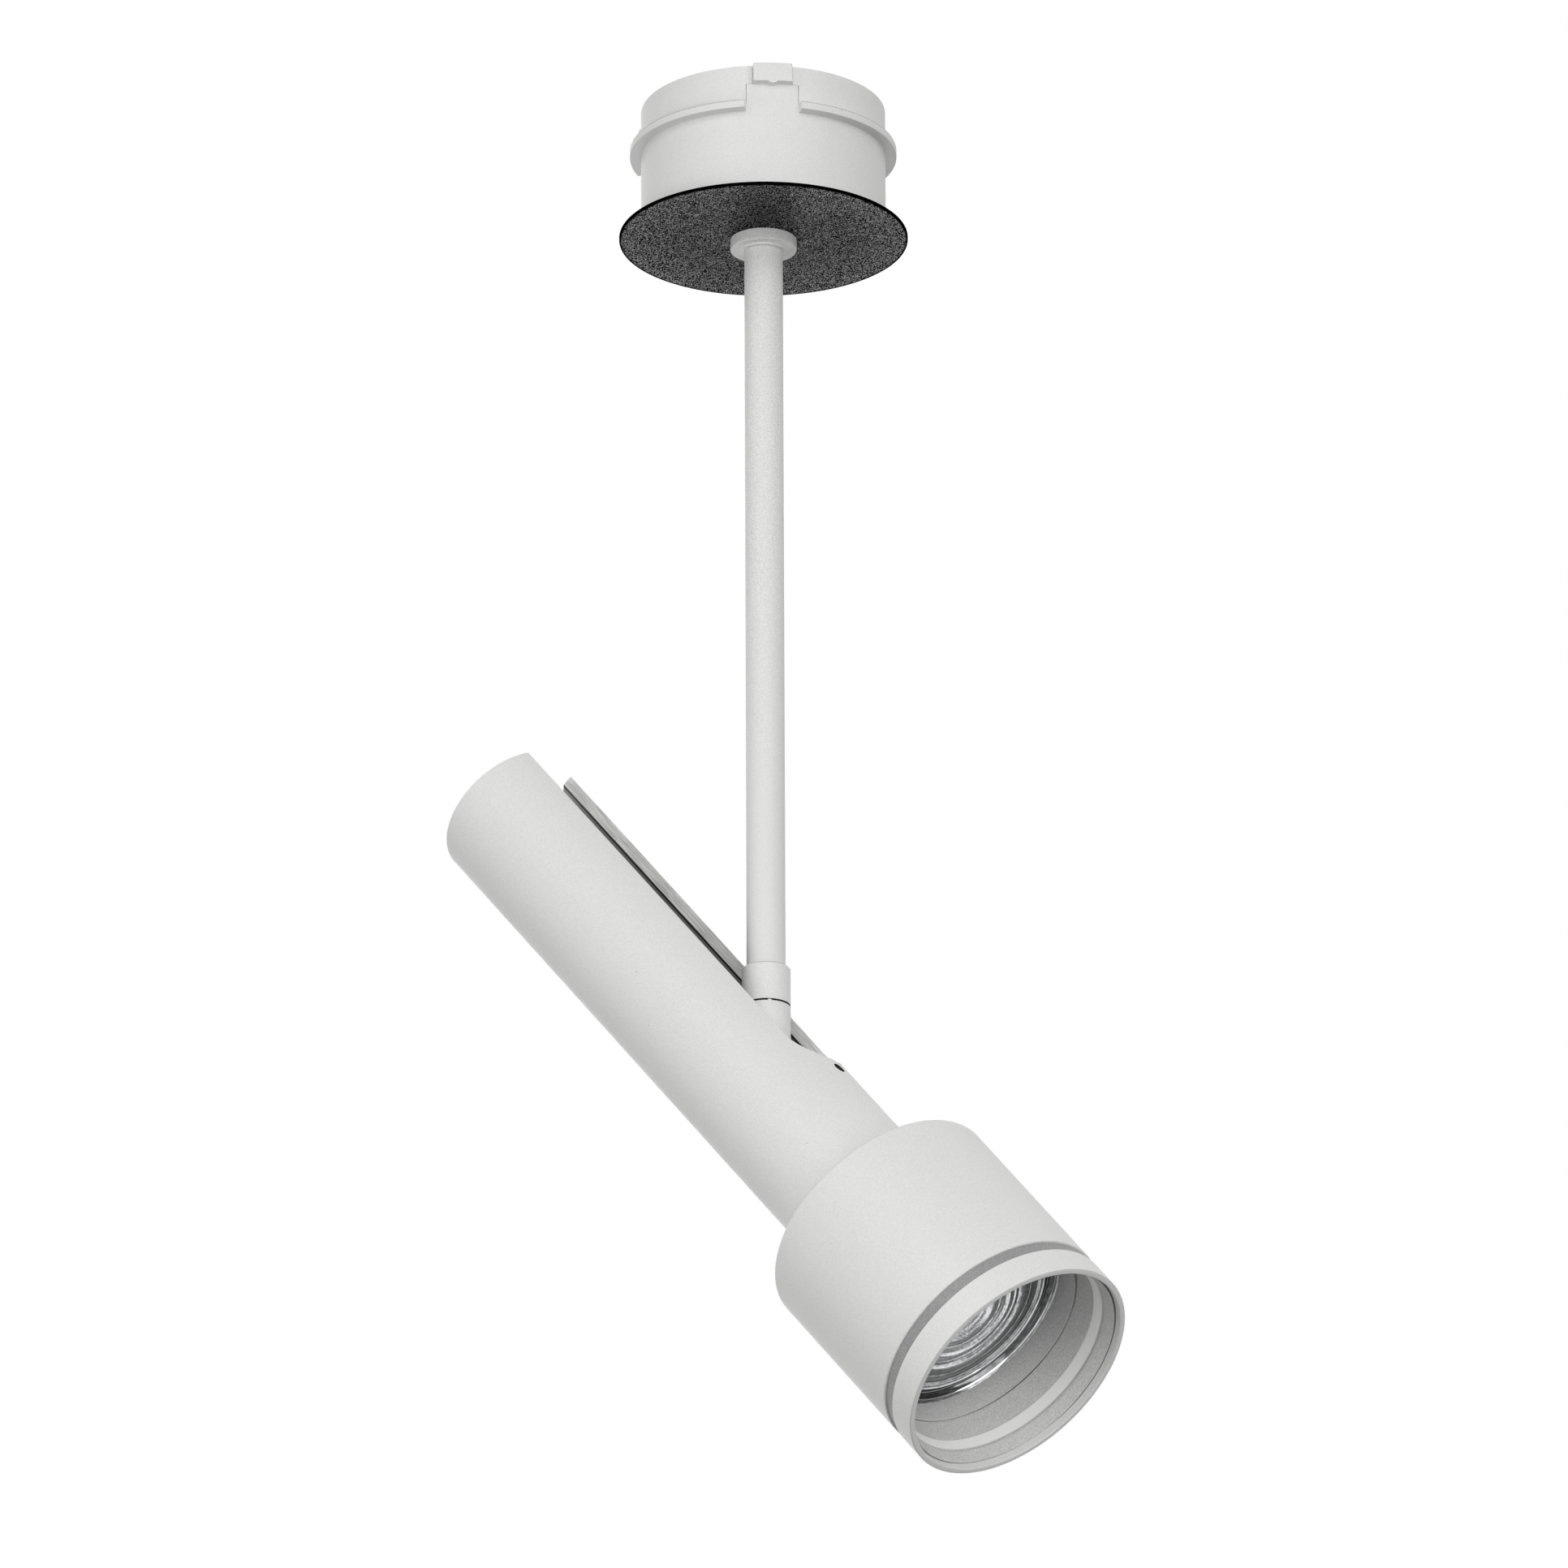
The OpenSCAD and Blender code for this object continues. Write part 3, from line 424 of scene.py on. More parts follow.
def blackSandCoat():
    look = sandCoat
    material, shader, place = startMaterial("blackSandCoat", look)
    sand = grain(place, look["sandSize"], 1.0)
    spot = addNode(place, "ShaderNodeTexCoord")
    level = ramp(calculate("ABSOLUTE", separate(spot.outputs["Normal"])[2]), *look["levelFaces"])
    away = addNode(place, "ShaderNodeVectorMath", links={0: place}, operation="LENGTH").outputs["Value"]
    # painted shade around the stem and flange: fewer glints close to the stem
    stemShade = times(ramp(away, *look["stemShadeRadii"], look["shadeAtStem"]), ramp(away, *look["bareEdge"]))
    tone = times(ramp(sand, *look["levels"]), times(level, stemShade))
    feed(shader, "Specular IOR Level", ramp(tone, 0.0, 1.0, look["dull"], look["bright"]))
    return dress(material, shader, blendColors(tone, look["color"], look["point"]),
                 times(sand, look["sandHeight"]))


# Moulded white polycarbonate, spark-eroded tool: matt with a very fine even texture.
cupPlastic = {
    "color": "#E9E9E7",
    "shade": "#E2E2E0",
    "levels": (0.4, 0.6),
    "nib": "#7D7D7B",
    "roughness": 0.5,
    "ior": 1.58,
    "grainSize": 0.36,  # drawn coarser than the tool's 0.05 mm so that it shows
    "grainHeight": 0.002,
    "peelSize": 6.0,  # faint sink over the wall
    "peelHeight": 0.012,
    "nibPitch": 6.5,
    "nibRadius": 0.16,
}


def whitePolycarbonate(name, shadeBands=()):
    look = cupPlastic
    material, shader, place = startMaterial(name, look)
    color = mottle(place, look["grainSize"], look["shade"], look["color"], look["levels"])
    color = addPaintedShade(place, addNibs(place, color, look), shadeBands)
    return dress(material, shader, color, coatHeight(place, look))


# Plain moulded plastics of the inner parts: satin, with soft flow marks that curl and a fine grain.
def mouldedPlastic(name, color, shade, roughness, ior, size=3.0, curl=1.2, fine=0.35, height=0.003):
    look = {"color": color, "roughness": roughness, "ior": ior}
    material, shader, place = startMaterial(name, look)
    return dress(material, shader, mottle(place, size, shade, color, distortion=curl),
                 times(grain(place, fine), height))


# Metals: machined or plated, so the gloss varies along fine tool lines, a squeezed grain, and patches.
def machinedMetal(name, color, shade, roughness, lineSize, lineHeight, lineShare=0.12, patchSize=2.4,
                  patchDetail=3.0, smoother=0.07, rougher=0.08):
    material, shader, place = startMaterial(name, {"color": color, "roughness": roughness}, 1.0)
    lines = grain(squeeze(place, lineShare), lineSize)
    feed(shader, "Roughness", ramp(lines, *midTones, roughness - smoother, roughness + rougher))
    return dress(material, shader, mottle(place, patchSize, shade, color, detail=patchDetail),
                 times(lines, lineHeight))


# Painted shade lines: painted shade along the tops of the collar and of the cup's lip, and a nearly black
# painted shadow across the joint between knuckle and collar
collarLow, collarHigh = (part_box("swivel_collar")[end].z / mm for end in (0, 1))
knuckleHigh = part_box("swivel_knuckle")[1].z / mm
lipHigh = 24.4
lipShows = 32.2  # radius
jointShadeOverlap, collarShadeWidth, lipShadeWidth = 0.06, 0.2, 0.3
over = 0.1  # past the piece's end
# painted shadow across the knuckle and collar joint, and painted shade along the collar's top edge
swivelPaintedShade = ((knuckleHigh - jointShadeOverlap, collarLow + jointShadeOverlap, "#0E0E0E", 0),
               (collarHigh - collarShadeWidth, collarHigh + over, "#A9A9A8", 0))
# painted shade along the top edge of the cup's lip
lipPaintedShade = (lipHigh - lipShadeWidth, lipHigh + over, "#BDBDBB", lipShows)
materials = {
    "powder": whitePowderCoat("whitePowderCoat", powderCoat),
    # the swivel's coat carries the painted joint shadow and the collar's painted shade line
    "swivel": whitePowderCoat("powderCoatPaintedJointShade", powderCoat, swivelPaintedShade),
    "stem": whitePowderCoat("grainedPowderCoat", stemCoat),
    "sand": blackSandCoat(),
    "cup": whitePolycarbonate("whitePolycarbonate", (lipPaintedShade,)),
    "latch": whitePolycarbonate("whitePolycarbonateLatch"),
    "nylon": mouldedPlastic("whiteNylon", "#E8E8E2", "#DDDDD6", 0.42, 1.53),
    "driver": mouldedPlastic("greyAbs", "#D2D4D6", "#C6C8CB", 0.38, 1.54, 4.0),
    "rubber": mouldedPlastic("blackEpdmRubber", "#161617", "#0F0F10", 0.7, 1.52, 2.0),
    # painted shade on the wall of the screw's hole: nearly black, so the hole is a dark stroke
    "holeShade": mouldedPlastic("paintedHoleShade", "#0B0B0B", "#060606", 0.7, 1.5),
    "steel": machinedMetal("brightSteel", "#BFC1C4", "#A9ABAE", 0.34, 0.3, 0.004),
    "zinc": machinedMetal("zincPlatedSteel", "#C9CBD0", "#B4B7BE", 0.28, 0.5, 0.003),
    "aluminium": machinedMetal("turnedAluminium", "#CDCFD1", "#BABCBF", 0.33, 0.25, 0.004),
    "brass": machinedMetal("turnedBrass", "#D9B566", "#C39E50", 0.3, 0.3, 0.003),
}

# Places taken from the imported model
pivot = next(Vector(joint["pos_m"]) for joint in frame["joints"] if joint["name"] == "head_tilt")
aimAngle = 40  # degrees between the lamp's axis and straight down
lampFrame = (Matrix.Translation(pivot) @ Matrix.Rotation(math.radians(180 - aimAngle), 4, "Y")
             @ Matrix.Rotation(math.pi, 4, "Z"))
fromLamp = lampFrame.inverted()
upright = Matrix.Identity(4)


# Smallest and largest radius, and first and last station, of a node about a frame's Z axis, in mm
def measure(name, matrix):
    turn = matrix.inverted()
    points = np.array([turn @ v.co for v in nodes[name].data.vertices]) / mm
    radii = np.hypot(points[:, 0], points[:, 1])
    return radii.min(), radii.max(), points[:, 2].min(), points[:, 2].max()


tubeBore, tubeRadius, tubeBack, tubeFront = measure("body_tube", lampFrame)
bezelBore, headRadius, bezelBack, rimStation = measure("front_bezel", lampFrame)
baffleBore, shellBore, baffleBack, baffleFront = measure("baffle_ring", lampFrame)
ringBore, ringRadius, ringBack, ringFront = measure("diffuser_ring", lampFrame)
print("lamp: tube %.2f to %.2f, rim at %.2f mm" % (tubeBack, tubeFront, rimStation))


# The same point in the lamp's own frame, for textures that follow its axis
def lampPlace(place):
    turned = addNode(place, "ShaderNodeMapping", {"Location": fromLamp.translation / mm,
                     "Rotation": fromLamp.to_euler("XYZ")}, {"Vector": place})
    return turned.outputs[0]


# Its two sides, its station along the axis and its distance from the axis. The first side is the slot's.
def lampSpot(place):
    up, across, station = separate(lampPlace(place))
    return up, across, station, fromAxis(up, across)


# Coat inside the head: thinner and a little greyer than outside, satin, with faint turned rings
innerLacquer = {
    "bore": ("#D4D4D3", "#EAEAE9"),
    "taper": ("#D0D0CF", "#E6E6E5"),  # the bezel's own taper
    "rimEdgeShade": "#C9C9C8",  # painted shade along the rim's outer edge
    "rimEdgeShadeWidth": 0.22,
    "rimFaceLight": "#F7F7F6",  # and painted light on its front face
    "rimFaceLightDepth": 0.03,
    "ringPitch": 0.9,  # turned rings
    "ringHeight": 0.006,
}

# Shadow gaps at the foot of a bore's wall, behind a station and outside a radius, painted dark as painted
# shade. The
# painted shade fades out towards a side: a fade is (from, to, share, share), with 1 at the slot's side.
gapShadeWidth = 0.6
gaps = {
    "baffle": {
        "color": "#646463",  # painted shade in the gap at the baffle's edge
        "station": baffleFront,
        "radius": shellBore - 0.3,
        "fades": ((-0.85, -0.3, 0.1, 1.0), (-0.1, 0.5, 1.0, 0.15)),
    },
    "rim": {
        # painted shade in the groove at the foot of the rim's inner wall
        "color": "#929291",
        "station": rimStation - 1.94,
        "radius": headRadius - 1.95,
        "fades": ((-0.35, 0.0, 0.0, 1.0),),
    },
}


# The bore is the radius inside which and the station behind which the inner coat lies.
def lampCoat(name, bore, tones, gap=None, rim=False):
    look, inner = powderCoat, innerLacquer
    material, shader, place = startMaterial(name, look)
    up, across, station, radius = lampSpot(place)
    tone = ramp(grain(place, look["grainSize"]), *look["levels"])
    white = addNibs(place, blendColors(tone, look["shade"], look["color"]), look)
    inBore = times(below(radius, bore[0]), below(station, bore[1]))
    coat = blendColors(inBore, white, blendColors(tone, *inner[tones]))
    if gap:
        # painted shade in the shadow gap, faded out towards one side
        gapShade = times(below(station, gap["station"]), above(radius, gap["radius"]),
                     below(radius, gap["radius"] + gapShadeWidth))
        side = calculate("DIVIDE", up, radius)
        for fade in gap["fades"]:
            gapShade = times(gapShade, ramp(side, *fade))
        coat = blendColors(gapShade, coat, gap["color"])
    # painted light on the rim's front face and painted shade along its outer edge
    if rim:
        coat = blendColors(above(station, rimStation - inner["rimFaceLightDepth"]), coat, inner["rimFaceLight"])
        rimEdgeShadeMask = times(above(station, rimStation - inner["rimEdgeShadeWidth"]),
                       above(radius, headRadius - inner["rimEdgeShadeWidth"]))
        coat = blendColors(rimEdgeShadeMask, coat, inner["rimEdgeShade"])
    rings = calculate("SINE", times(station, 2 * math.pi / inner["ringPitch"]))
    rings = times(rings, inBore, inner["ringHeight"])
    return dress(material, shader, coat, calculate("ADD", rings, coatHeight(place, look)))


# Opal polycarbonate ring as lit and shaded copies: the outer band painted grey as painted shade, the inner
# band that faces the lens painted milky white with a painted glow
frontLip = 2.3  # inner band ahead of the outer band
opalRing = {
    "color": "#A0A0A0",
    "shade": "#888888",
    "levels": (0.35, 0.65),
    "inner": "#F2F2F1",
    "innerEnd": "#C6C6C5",  # the inner band is painted darker towards its ends
    "endFade": 0.35,
    "through": 0.1,  # painted glow on the inner band, though it is no lamp
    "split": 0.5,  # share of the ring's section that is the inner band
    "roughness": 0.4,
    "ior": 1.58,
    "grainSize": 0.4,
    "grainHeight": 0.002,
}


def opalPolycarbonate():
    look = opalRing
    material, shader, place = startMaterial("opalPolycarbonate", look)
    up, across, station, radius = lampSpot(place)
    outer = mottle(place, look["grainSize"], look["shade"], look["color"], look["levels"])
    first = ringBack + frontLip
    middle = times(ramp(station, first, first + look["endFade"]),
                   ramp(station, ringFront, ringFront - look["endFade"]))
    band = blendColors(middle, look["innerEnd"], look["inner"])
    isInner = below(radius, ringBore + look["split"] * (ringRadius - ringBore))
    # painted glow on the inner band, less towards its ends
    feed(shader, "Emission Color", blendColors(times(isInner, middle), "#000000", look["inner"]))
    shader.inputs["Emission Strength"].default_value = look["through"]
    return dress(material, shader, blendColors(isInner, outer, band), fineHeight(place, look))


# Facets of the lens: acrylic that mirrors by total reflection, drawn as a mirror under a clear coat. Its
# bright and dark arcs are painted reflections in the mirror's colour, broken up by the mould's marks, with
# bands of painted reflection
facetOptic = {
    "color": "#E6E7E8",
    "shade": "#707173",
    "levels": (0.38, 0.62),
    "roughness": 0.11,
    "mirror": 0.9,
    "coat": 0.6,
    "coatRoughness": 0.04,
    "ringWidth": 0.55,  # width of the fine rings
    "ringShare": 0.65,  # their share of the tone, where the specks have the rest
    "arcs": 1.1,  # more gives shorter arcs
    "speckWidth": 0.35,
    "speckArcs": 14,
    "speckHeight": 0.012,
    "bandEdge": 0.1,
    "paintedDarkReflection": "#0B0B0C",
    "paintedBrightReflection": "#F4F5F6",
    "bands": (  # first and last radius, share, painted reflection
        (18.2, 23.0, 0.45, "paintedDarkReflection"), (23.1, 23.5, 0.7, "paintedBrightReflection"), (23.6, 23.9, 0.7, "paintedDarkReflection"),
        (24.0, 24.3, 0.7, "paintedBrightReflection"), (24.6, 27.2, 0.78, "paintedDarkReflection"), (27.45, 28.4, 0.55, "paintedDarkReflection")),
}


def facetAcrylic():
    look = facetOptic
    material, shader, place = startMaterial("facetedAcrylic", look, look["mirror"])
    up, across, station, radius = lampSpot(place)

    def ringNoise(width, arcs):
        turn = [times(calculate("DIVIDE", side, radius), arcs) for side in (up, across)]
        spot = addNode(place, "ShaderNodeCombineXYZ",
                       links={0: calculate("DIVIDE", radius, width), 1: turn[0], 2: turn[1]})
        return grain(spot.outputs[0], 1.0, 1.0)

    # painted reflections: rings of bright and dark arcs in the mirror's colour
    rings = ringNoise(look["ringWidth"], look["arcs"])
    specks = ringNoise(look["speckWidth"], look["speckArcs"])
    tone = calculate("ADD", times(rings, look["ringShare"]), times(specks, 1 - look["ringShare"]))
    color = blendColors(ramp(tone, *look["levels"]), look["shade"], look["color"])
    edge = look["bandEdge"]
    # bands of painted dark and bright reflection at given radii
    for first, last, share, shown in look["bands"]:
        band = times(ramp(radius, first - edge, first + edge), ramp(radius, last + edge, last - edge), share)
        color = blendColors(band, color, look[shown])
    shader.inputs["Coat Weight"].default_value = look["coat"]
    shader.inputs["Coat Roughness"].default_value = look["coatRoughness"]
    return dress(material, shader, color, times(specks, look["speckHeight"]))


# Clear acrylic of the lens's middle, polished, with a faint swirl from the mould
def clearAcrylic(swirlSize=1.5, swirlHeight=0.004):
    look = {"color": "#FBFCFD", "roughness": 0.03, "ior": 1.49}
    material, shader, place = startMaterial("clearAcrylic", look)
    shader.inputs["Transmission Weight"].default_value = 1.0
    relief(shader, times(grain(place, swirlSize, 1.0), swirlHeight))
    return material


# Light source: yellow silicone phosphor on a white ceramic plate, from a little over its middle
def ledPhosphor(gel=("#E2B23A", "#EBC355"), plate=("#E9E8E4", "#F3F2EE"), toneSize=0.5, gelAbove=0.05,
                fine=0.4, height=0.01):
    material, shader, place = startMaterial("phosphorOnCeramic", {"color": plate[1], "roughness": 0.45})
    back, front = measure("led_emitter", lampFrame)[2:]
    isGel = above(lampSpot(place)[2], (back + front) / 2 + gelAbove)
    color = blendColors(isGel, mottle(place, toneSize, *plate), mottle(place, toneSize, *gel))
    return dress(material, shader, color, times(grain(place, fine), height))


materials.update({
    "shell": lampCoat("powderCoatThinBore", (shellBore + 0.3, rimStation), "bore", gaps["baffle"]),
    "bezel": lampCoat("powderCoatThinTaper", (headRadius - 1.8, rimStation - 1.7), "taper", gaps["rim"],
                      rim=True),
    "baffle": lampCoat("thinPowderCoat", (headRadius, rimStation), "bore"),
    "opal": opalPolycarbonate(),
    "acrylic": clearAcrylic(),
    "facets": facetAcrylic(),
    "led": ledPhosphor(),
})
print("materials:", len(materials))


# Meshes. An outline is a closed list of (radius, station, rounding) corners in mm.
def roundCorners(corners, steps=4):
    points = []
    for i, (r, z, rounding) in enumerate(corners):
        here = np.array((r, z))
        before = np.array(corners[i - 1][:2]) - here
        after = np.array(corners[(i + 1) % len(corners)][:2]) - here
        toBefore, toAfter = np.linalg.norm(before), np.linalg.norm(after)
        if rounding <= 0:
            points.append((r, z))
            continue
        before, after = before / toBefore, after / toAfter
        half = math.acos(max(-1.0, min(1.0, float(before @ after)))) / 2
        reach = min(rounding / math.tan(half), 0.48 * toBefore, 0.48 * toAfter)
        radius = reach * math.tan(half)
        middle = here + (before + after) / np.linalg.norm(before + after) * radius / math.sin(half)
        first = here + before * reach - middle
        last = here + after * reach - middle
        sweep = math.pi - 2 * half
        for k in range(steps + 1):
            t = k / steps
            a, b = math.sin((1 - t) * sweep), math.sin(t * sweep)
            points.append(tuple(middle + (a * first + b * last) / math.sin(sweep)))
    return points


# A piece that stands for the named node
def addPiece(name, mesh, body, slot, node, *paints):
    for polygon in mesh.polygons:
        polygon.use_smooth = True
    for paint in paints:
        mesh.materials.append(materials[paint])
    piece = addObject(name, mesh)
    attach(piece, body)
    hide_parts(node)
    return piece


def addNormals(piece):
    even = piece.modifiers.new("evenNormals", "WEIGHTED_NORMAL")
    even.mode = "FACE_AREA"
    even.keep_sharp = True


def addEdge(piece, width, segments=2, angle=40):
    rounding = piece.modifiers.new("edge", "BEVEL")
    rounding.width = width * mm
    rounding.segments = segments
    rounding.limit_method = "ANGLE"
    rounding.angle_limit = math.radians(angle)
    return rounding


# Joins the meshes, welds points, drops short edges (both lengths in metres) and turns faces outwards
def closeMesh(mesh, weld=0.0, shortest=0.0, others=()):
    form = bmesh.new()
    for part in (mesh, *others):
        form.from_mesh(part)
    if weld:
        bmesh.ops.remove_doubles(form, verts=form.verts, dist=weld)
    if shortest:
        bmesh.ops.dissolve_degenerate(form, edges=form.edges, dist=shortest)
    bmesh.ops.recalc_face_normals(form, faces=form.faces)
    form.to_mesh(mesh)
    form.free()
    return mesh


def ringSpot(r, turn, z):
    return Vector((r * math.cos(turn), r * math.sin(turn), z)) * mm


def lathe(name, outline, matrix, segments=240):
    count = len(outline)
    points, faces = [], []
    for k in range(segments):
        turn = 2 * math.pi * k / segments
        for r, z in outline:
            points.append(matrix @ ringSpot(r, turn, z))
    for k in range(segments):
        here, there = k * count, (k + 1) % segments * count
        for i in range(count):
            j = (i + 1) % count
            faces.append((here + i, here + j, there + j, there + i))
    return closeMesh(makeMesh(name, points, faces), 1e-7)


# Slotted tube: rows of points along it, each row open where the slot is, then two rounded rims
slottedTube = {
    "slotWidth": 20.5,
    "slotEnd": -0.5125,  # centre of the slot's round end, ahead of the pivot
    "edge": 0.28,  # rounding of the coated edges
    "columns": 168,
    "straightRows": 14,
    "roundRows": 26,
    "frontRows": 12,
    "screwSide": 2.2,
    "screwAhead": 13.2,
    "screwHole": 1.65,
    "cutPast": 2,
}


def tubeRows():
    look = slottedTube
    half = look["slotWidth"] / 2
    rows = [(z, half) for z in np.linspace(tubeBack, look["slotEnd"], look["straightRows"])]
    for k in range(1, look["roundRows"] + 1):
        turn = math.pi / 2 * k / look["roundRows"]
        rows.append((look["slotEnd"] + half * math.sin(turn), half * math.cos(turn)))
    apex = rows[-1][0]
    rows += [(z, 0.0) for z in np.linspace(apex, tubeFront, look["frontRows"] + 1)[1:]]
    # the last cosine leaves a trace of an opening
    return [(z, 0.0 if opening < 1e-6 else opening) for z, opening in rows]


def makeBodyTube():
    look = slottedTube
    rows, columns = tubeRows(), look["columns"]
    points, faces, paintOf = [], [], []
    for radius in (tubeRadius, tubeBore):
        for z, opening in rows:
            start = math.asin(opening / radius)
            for k in range(columns + 1):
                turn = start + (2 * math.pi - 2 * start) * k / columns
                points.append(lampFrame @ ringSpot(radius, turn, z))
    wide = columns + 1
    inner = wide * len(rows)

    def addFace(corners, paint):
        faces.append(corners)
        paintOf.append(paint)

    for i in range(len(rows) - 1):
        for k in range(columns):
            a = i * wide + k
            addFace((a, a + 1, a + 1 + wide, a + wide), 0)
            addFace((inner + a, inner + a + wide, inner + a + 1 + wide, inner + a + 1), 1)
        if rows[i][1] > 0:
            for k in (0, columns):
                a = i * wide + k
                addFace((a, a + wide, inner + a + wide, inner + a), 2)
    for i in (0, len(rows) - 1):
        for k in range(columns):
            a = i * wide + k
            addFace((a, inner + a, inner + a + 1, a + 1), 0)
    mesh = makeMesh("bodyTube", points, faces)
    mesh.polygons.foreach_set("material_index", paintOf)
    return closeMesh(mesh, 2e-7, 1e-8)


# Cut faces of the slot: the coat follows the cutter's fine lines along the tube
def cutFaceCoat(color="#F2F2F1", shade="#C0C0BF", levels=(0.36, 0.62), size=0.3, share=0.03, height=0.03):
    material, shader, place = startMaterial("powderCoatOverCut", powderCoat)
    lines = grain(squeeze(lampPlace(place), share), size, rough=0.6)
    return dress(material, shader, blendColors(ramp(lines, *levels), shade, color), times(lines, height))


# Inside of the tube: thin overspray on the bare extrusion, with a dark line of painted shade along the slot's
# edges
tubeBoreFinish = {
    "color": "#B4B4B3",
    "shade": "#989897",
    "roughness": 0.55,
    "patchSize": 1.2,
    "patchShare": 0.05,
    "patchDetail": 3.0,
    "grainSize": 0.5,
    "grainHeight": 0.004,
    # colour of the painted shade line along the slot's edges
    "line": "#1C1C1C",
    "lineWidth": 0.35,
}


def tubeBoreCoat():
    look = tubeBoreFinish
    material, shader, place = startMaterial("oversprayOnExtrusion", look)
    coat = mottle(squeeze(lampPlace(place), look["patchShare"]), look["patchSize"], look["shade"],
                  look["color"], detail=look["patchDetail"])
    up, across = separate(lampPlace(place))[:2]
    edge = slottedTube["slotWidth"] / 2 + slottedTube["edge"]
    # painted shade in a dark line under the slot's edges
    line = times(below(calculate("ABSOLUTE", across), edge + look["lineWidth"]), above(up, 0.0))
    return dress(material, shader, blendColors(line, coat, look["line"]), fineHeight(place, look))


materials.update({"bore": tubeBoreCoat(), "cut": cutFaceCoat()})
bodyTube = addPiece("bodyTubeShell", makeBodyTube(), "lamp", "white_powder_coat", "body_tube",
                    "powder", "bore", "cut")
addEdge(bodyTube, slottedTube["edge"], 3).use_clamp_overlap = False


def cutScrewHole(piece):
    look = slottedTube
    radius, low, high = look["screwHole"], tubeBore - look["cutPast"], tubeRadius + look["cutPast"]
    spot = Vector((0, look["screwSide"], look["screwAhead"])) * mm
    towardsSlot = lampFrame @ Matrix.Translation(spot) @ Matrix.Rotation(math.pi / 2, 4, "Y")
    outline = [(0, low), (radius, low), (radius, high), (0, high)]
    cutter = addObject("cutter", lathe("cutter", outline, towardsSlot, 48))
    # the cut wall of the hole takes the painted shade
    cutter.data.materials.append(materials["holeShade"])
    cut = piece.modifiers.new("hole", "BOOLEAN")
    cut.operation = "DIFFERENCE"
    cut.solver = "EXACT"
    cut.object = cutter
    cut.material_mode = "TRANSFER"
    bpy.context.view_layer.update()
    ready = bpy.data.meshes.new_from_object(piece.evaluated_get(bpy.context.evaluated_depsgraph_get()))
    piece.modifiers.clear()
    piece.data = ready
    bpy.data.objects.remove(cutter)


cutScrewHole(bodyTube)
addNormals(bodyTube)
print("body tube:", len(bodyTube.data.polygons), "faces")


# Cover disc with rolled edges, and the cup's shallow seat on top
coverPlate = {
    "edge": 0.12,
    "seatEdge": 0.05,
    "seatDepth": 0.3,
    "seatRadius": 31.85,
}


def makeCoverPlate():
    look = coverPlate
    hole, radius, low, high = measure("cover_disc", upright)
    seat = high - look["seatDepth"]
    outline = roundCorners([
        (hole, low, look["seatEdge"]), (radius, low, look["edge"]), (radius, high, look["edge"]),
        (look["seatRadius"], high, look["seatEdge"]), (look["seatRadius"], seat, 0),
        (hole, seat, look["seatEdge"])])
    return lathe("coverPlate", outline, upright, 300)


addNormals(addPiece("coverPlate", makeCoverPlate(), "ceiling_unit", "dark_powder_coat", "cover_disc", "sand"))

# Recess cup and latches: moulded walls built of cells between radii, sides and heights, so that
# windows and lip ends have square faces for the rounding
cupShape = {
    "wall": 1.6,
    "floor": 2.0,
    "ledgeWidth": 1.5,
    "ledgeLow": 17.6,
    "ledgeHigh": 18.8,
    "lipLow": 22.3,
    "lipOut": 2.9,
    "lipGapRear": 12.2,  # degrees of lip left out at each rear latch
    "latchTurn": -54,  # degrees, direction of the front latch
    "footHalf": 6.86,  # half widths of the window, at the latch's foot and head
    "headHalf": 5.19,
    "headLow": 29.86,
    "postRing": 25.06,
    "postRadius": 2.6,
    "postHole": 1.3,
    "postTurns": (180, 38, -38),
    "postGap": 0.01,  # over the floor
    "edge": 0.17,
    "columnTurn": 1.5,  # degrees between columns of the mesh
}
latchShape = {
    "slit": 0.14,  # each side, narrow as on the moulded part
    "headOut": 2.2,
    "top": 35.16,
    "topRound": 0.8,
    "nubRadius": 1.4,
    "nubDrop": 0.6,
    "rootLow": 0.5,  # the foot is a living hinge, so it runs on into the cup's wall
    "rootHigh": 0.2,
    "rootSink": 0.03,
    "rootProud": 0.004,
    "edge": 0.12,
    "columnWidth": 0.8,
    "nubColumnWidth": 0.25,
}
stemHole, lipRadius, cupFoot, cupTop = measure("recess_cup", upright)
cupRadius = lipRadius - cupShape["lipOut"]
cupBore = cupRadius - cupShape["wall"]


def spread(breaks, step):
    filled = []
    for first, last in zip(breaks, breaks[1:]):
        count = max(1, round((last - first) / step))
        filled += [first + (last - first) * k / count for k in range(count)]
    return filled


# lines[i][j] is the angle of side line j at radius i; filled[i][j][k] says which cells are solid
def cellSolid(name, radii, lines, heights, filled, ring, move=None):
    sides = len(lines[0])
    spots, points, faces = {}, [], []

    def corner(i, j, k):
        j = j % sides if ring else j
        if (i, j, k) not in spots:
            spots[i, j, k] = len(points)
            r, turn, z = radii[i], lines[i][j], heights[k]
            if move:
                r, turn, z = move(i, j, k, r, turn, z)
            points.append(ringSpot(r, turn, z))
        return spots[i, j, k]

    def solid(i, j, k):
        if ring:
            j %= filled.shape[1]
        return all(0 <= at < size for at, size in zip((i, j, k), filled.shape)) and filled[i, j, k]

    # the cell beyond each of the six sides, and the side's corners as binary digits
    around = (((-1, 0, 0), "000 001 011 010"), ((1, 0, 0), "100 110 111 101"),
              ((0, -1, 0), "000 100 101 001"), ((0, 1, 0), "010 011 111 110"),
              ((0, 0, -1), "000 010 110 100"), ((0, 0, 1), "001 101 111 011"))
    for i, j, k in zip(*np.nonzero(filled)):
        for (di, dj, dk), corners in around:
            if not solid(i + di, j + dj, k + dk):
                faces.append([corner(i + int(a), j + int(b), k + int(c)) for a, b, c in corners.split()])
    return makeMesh(name, points, faces)


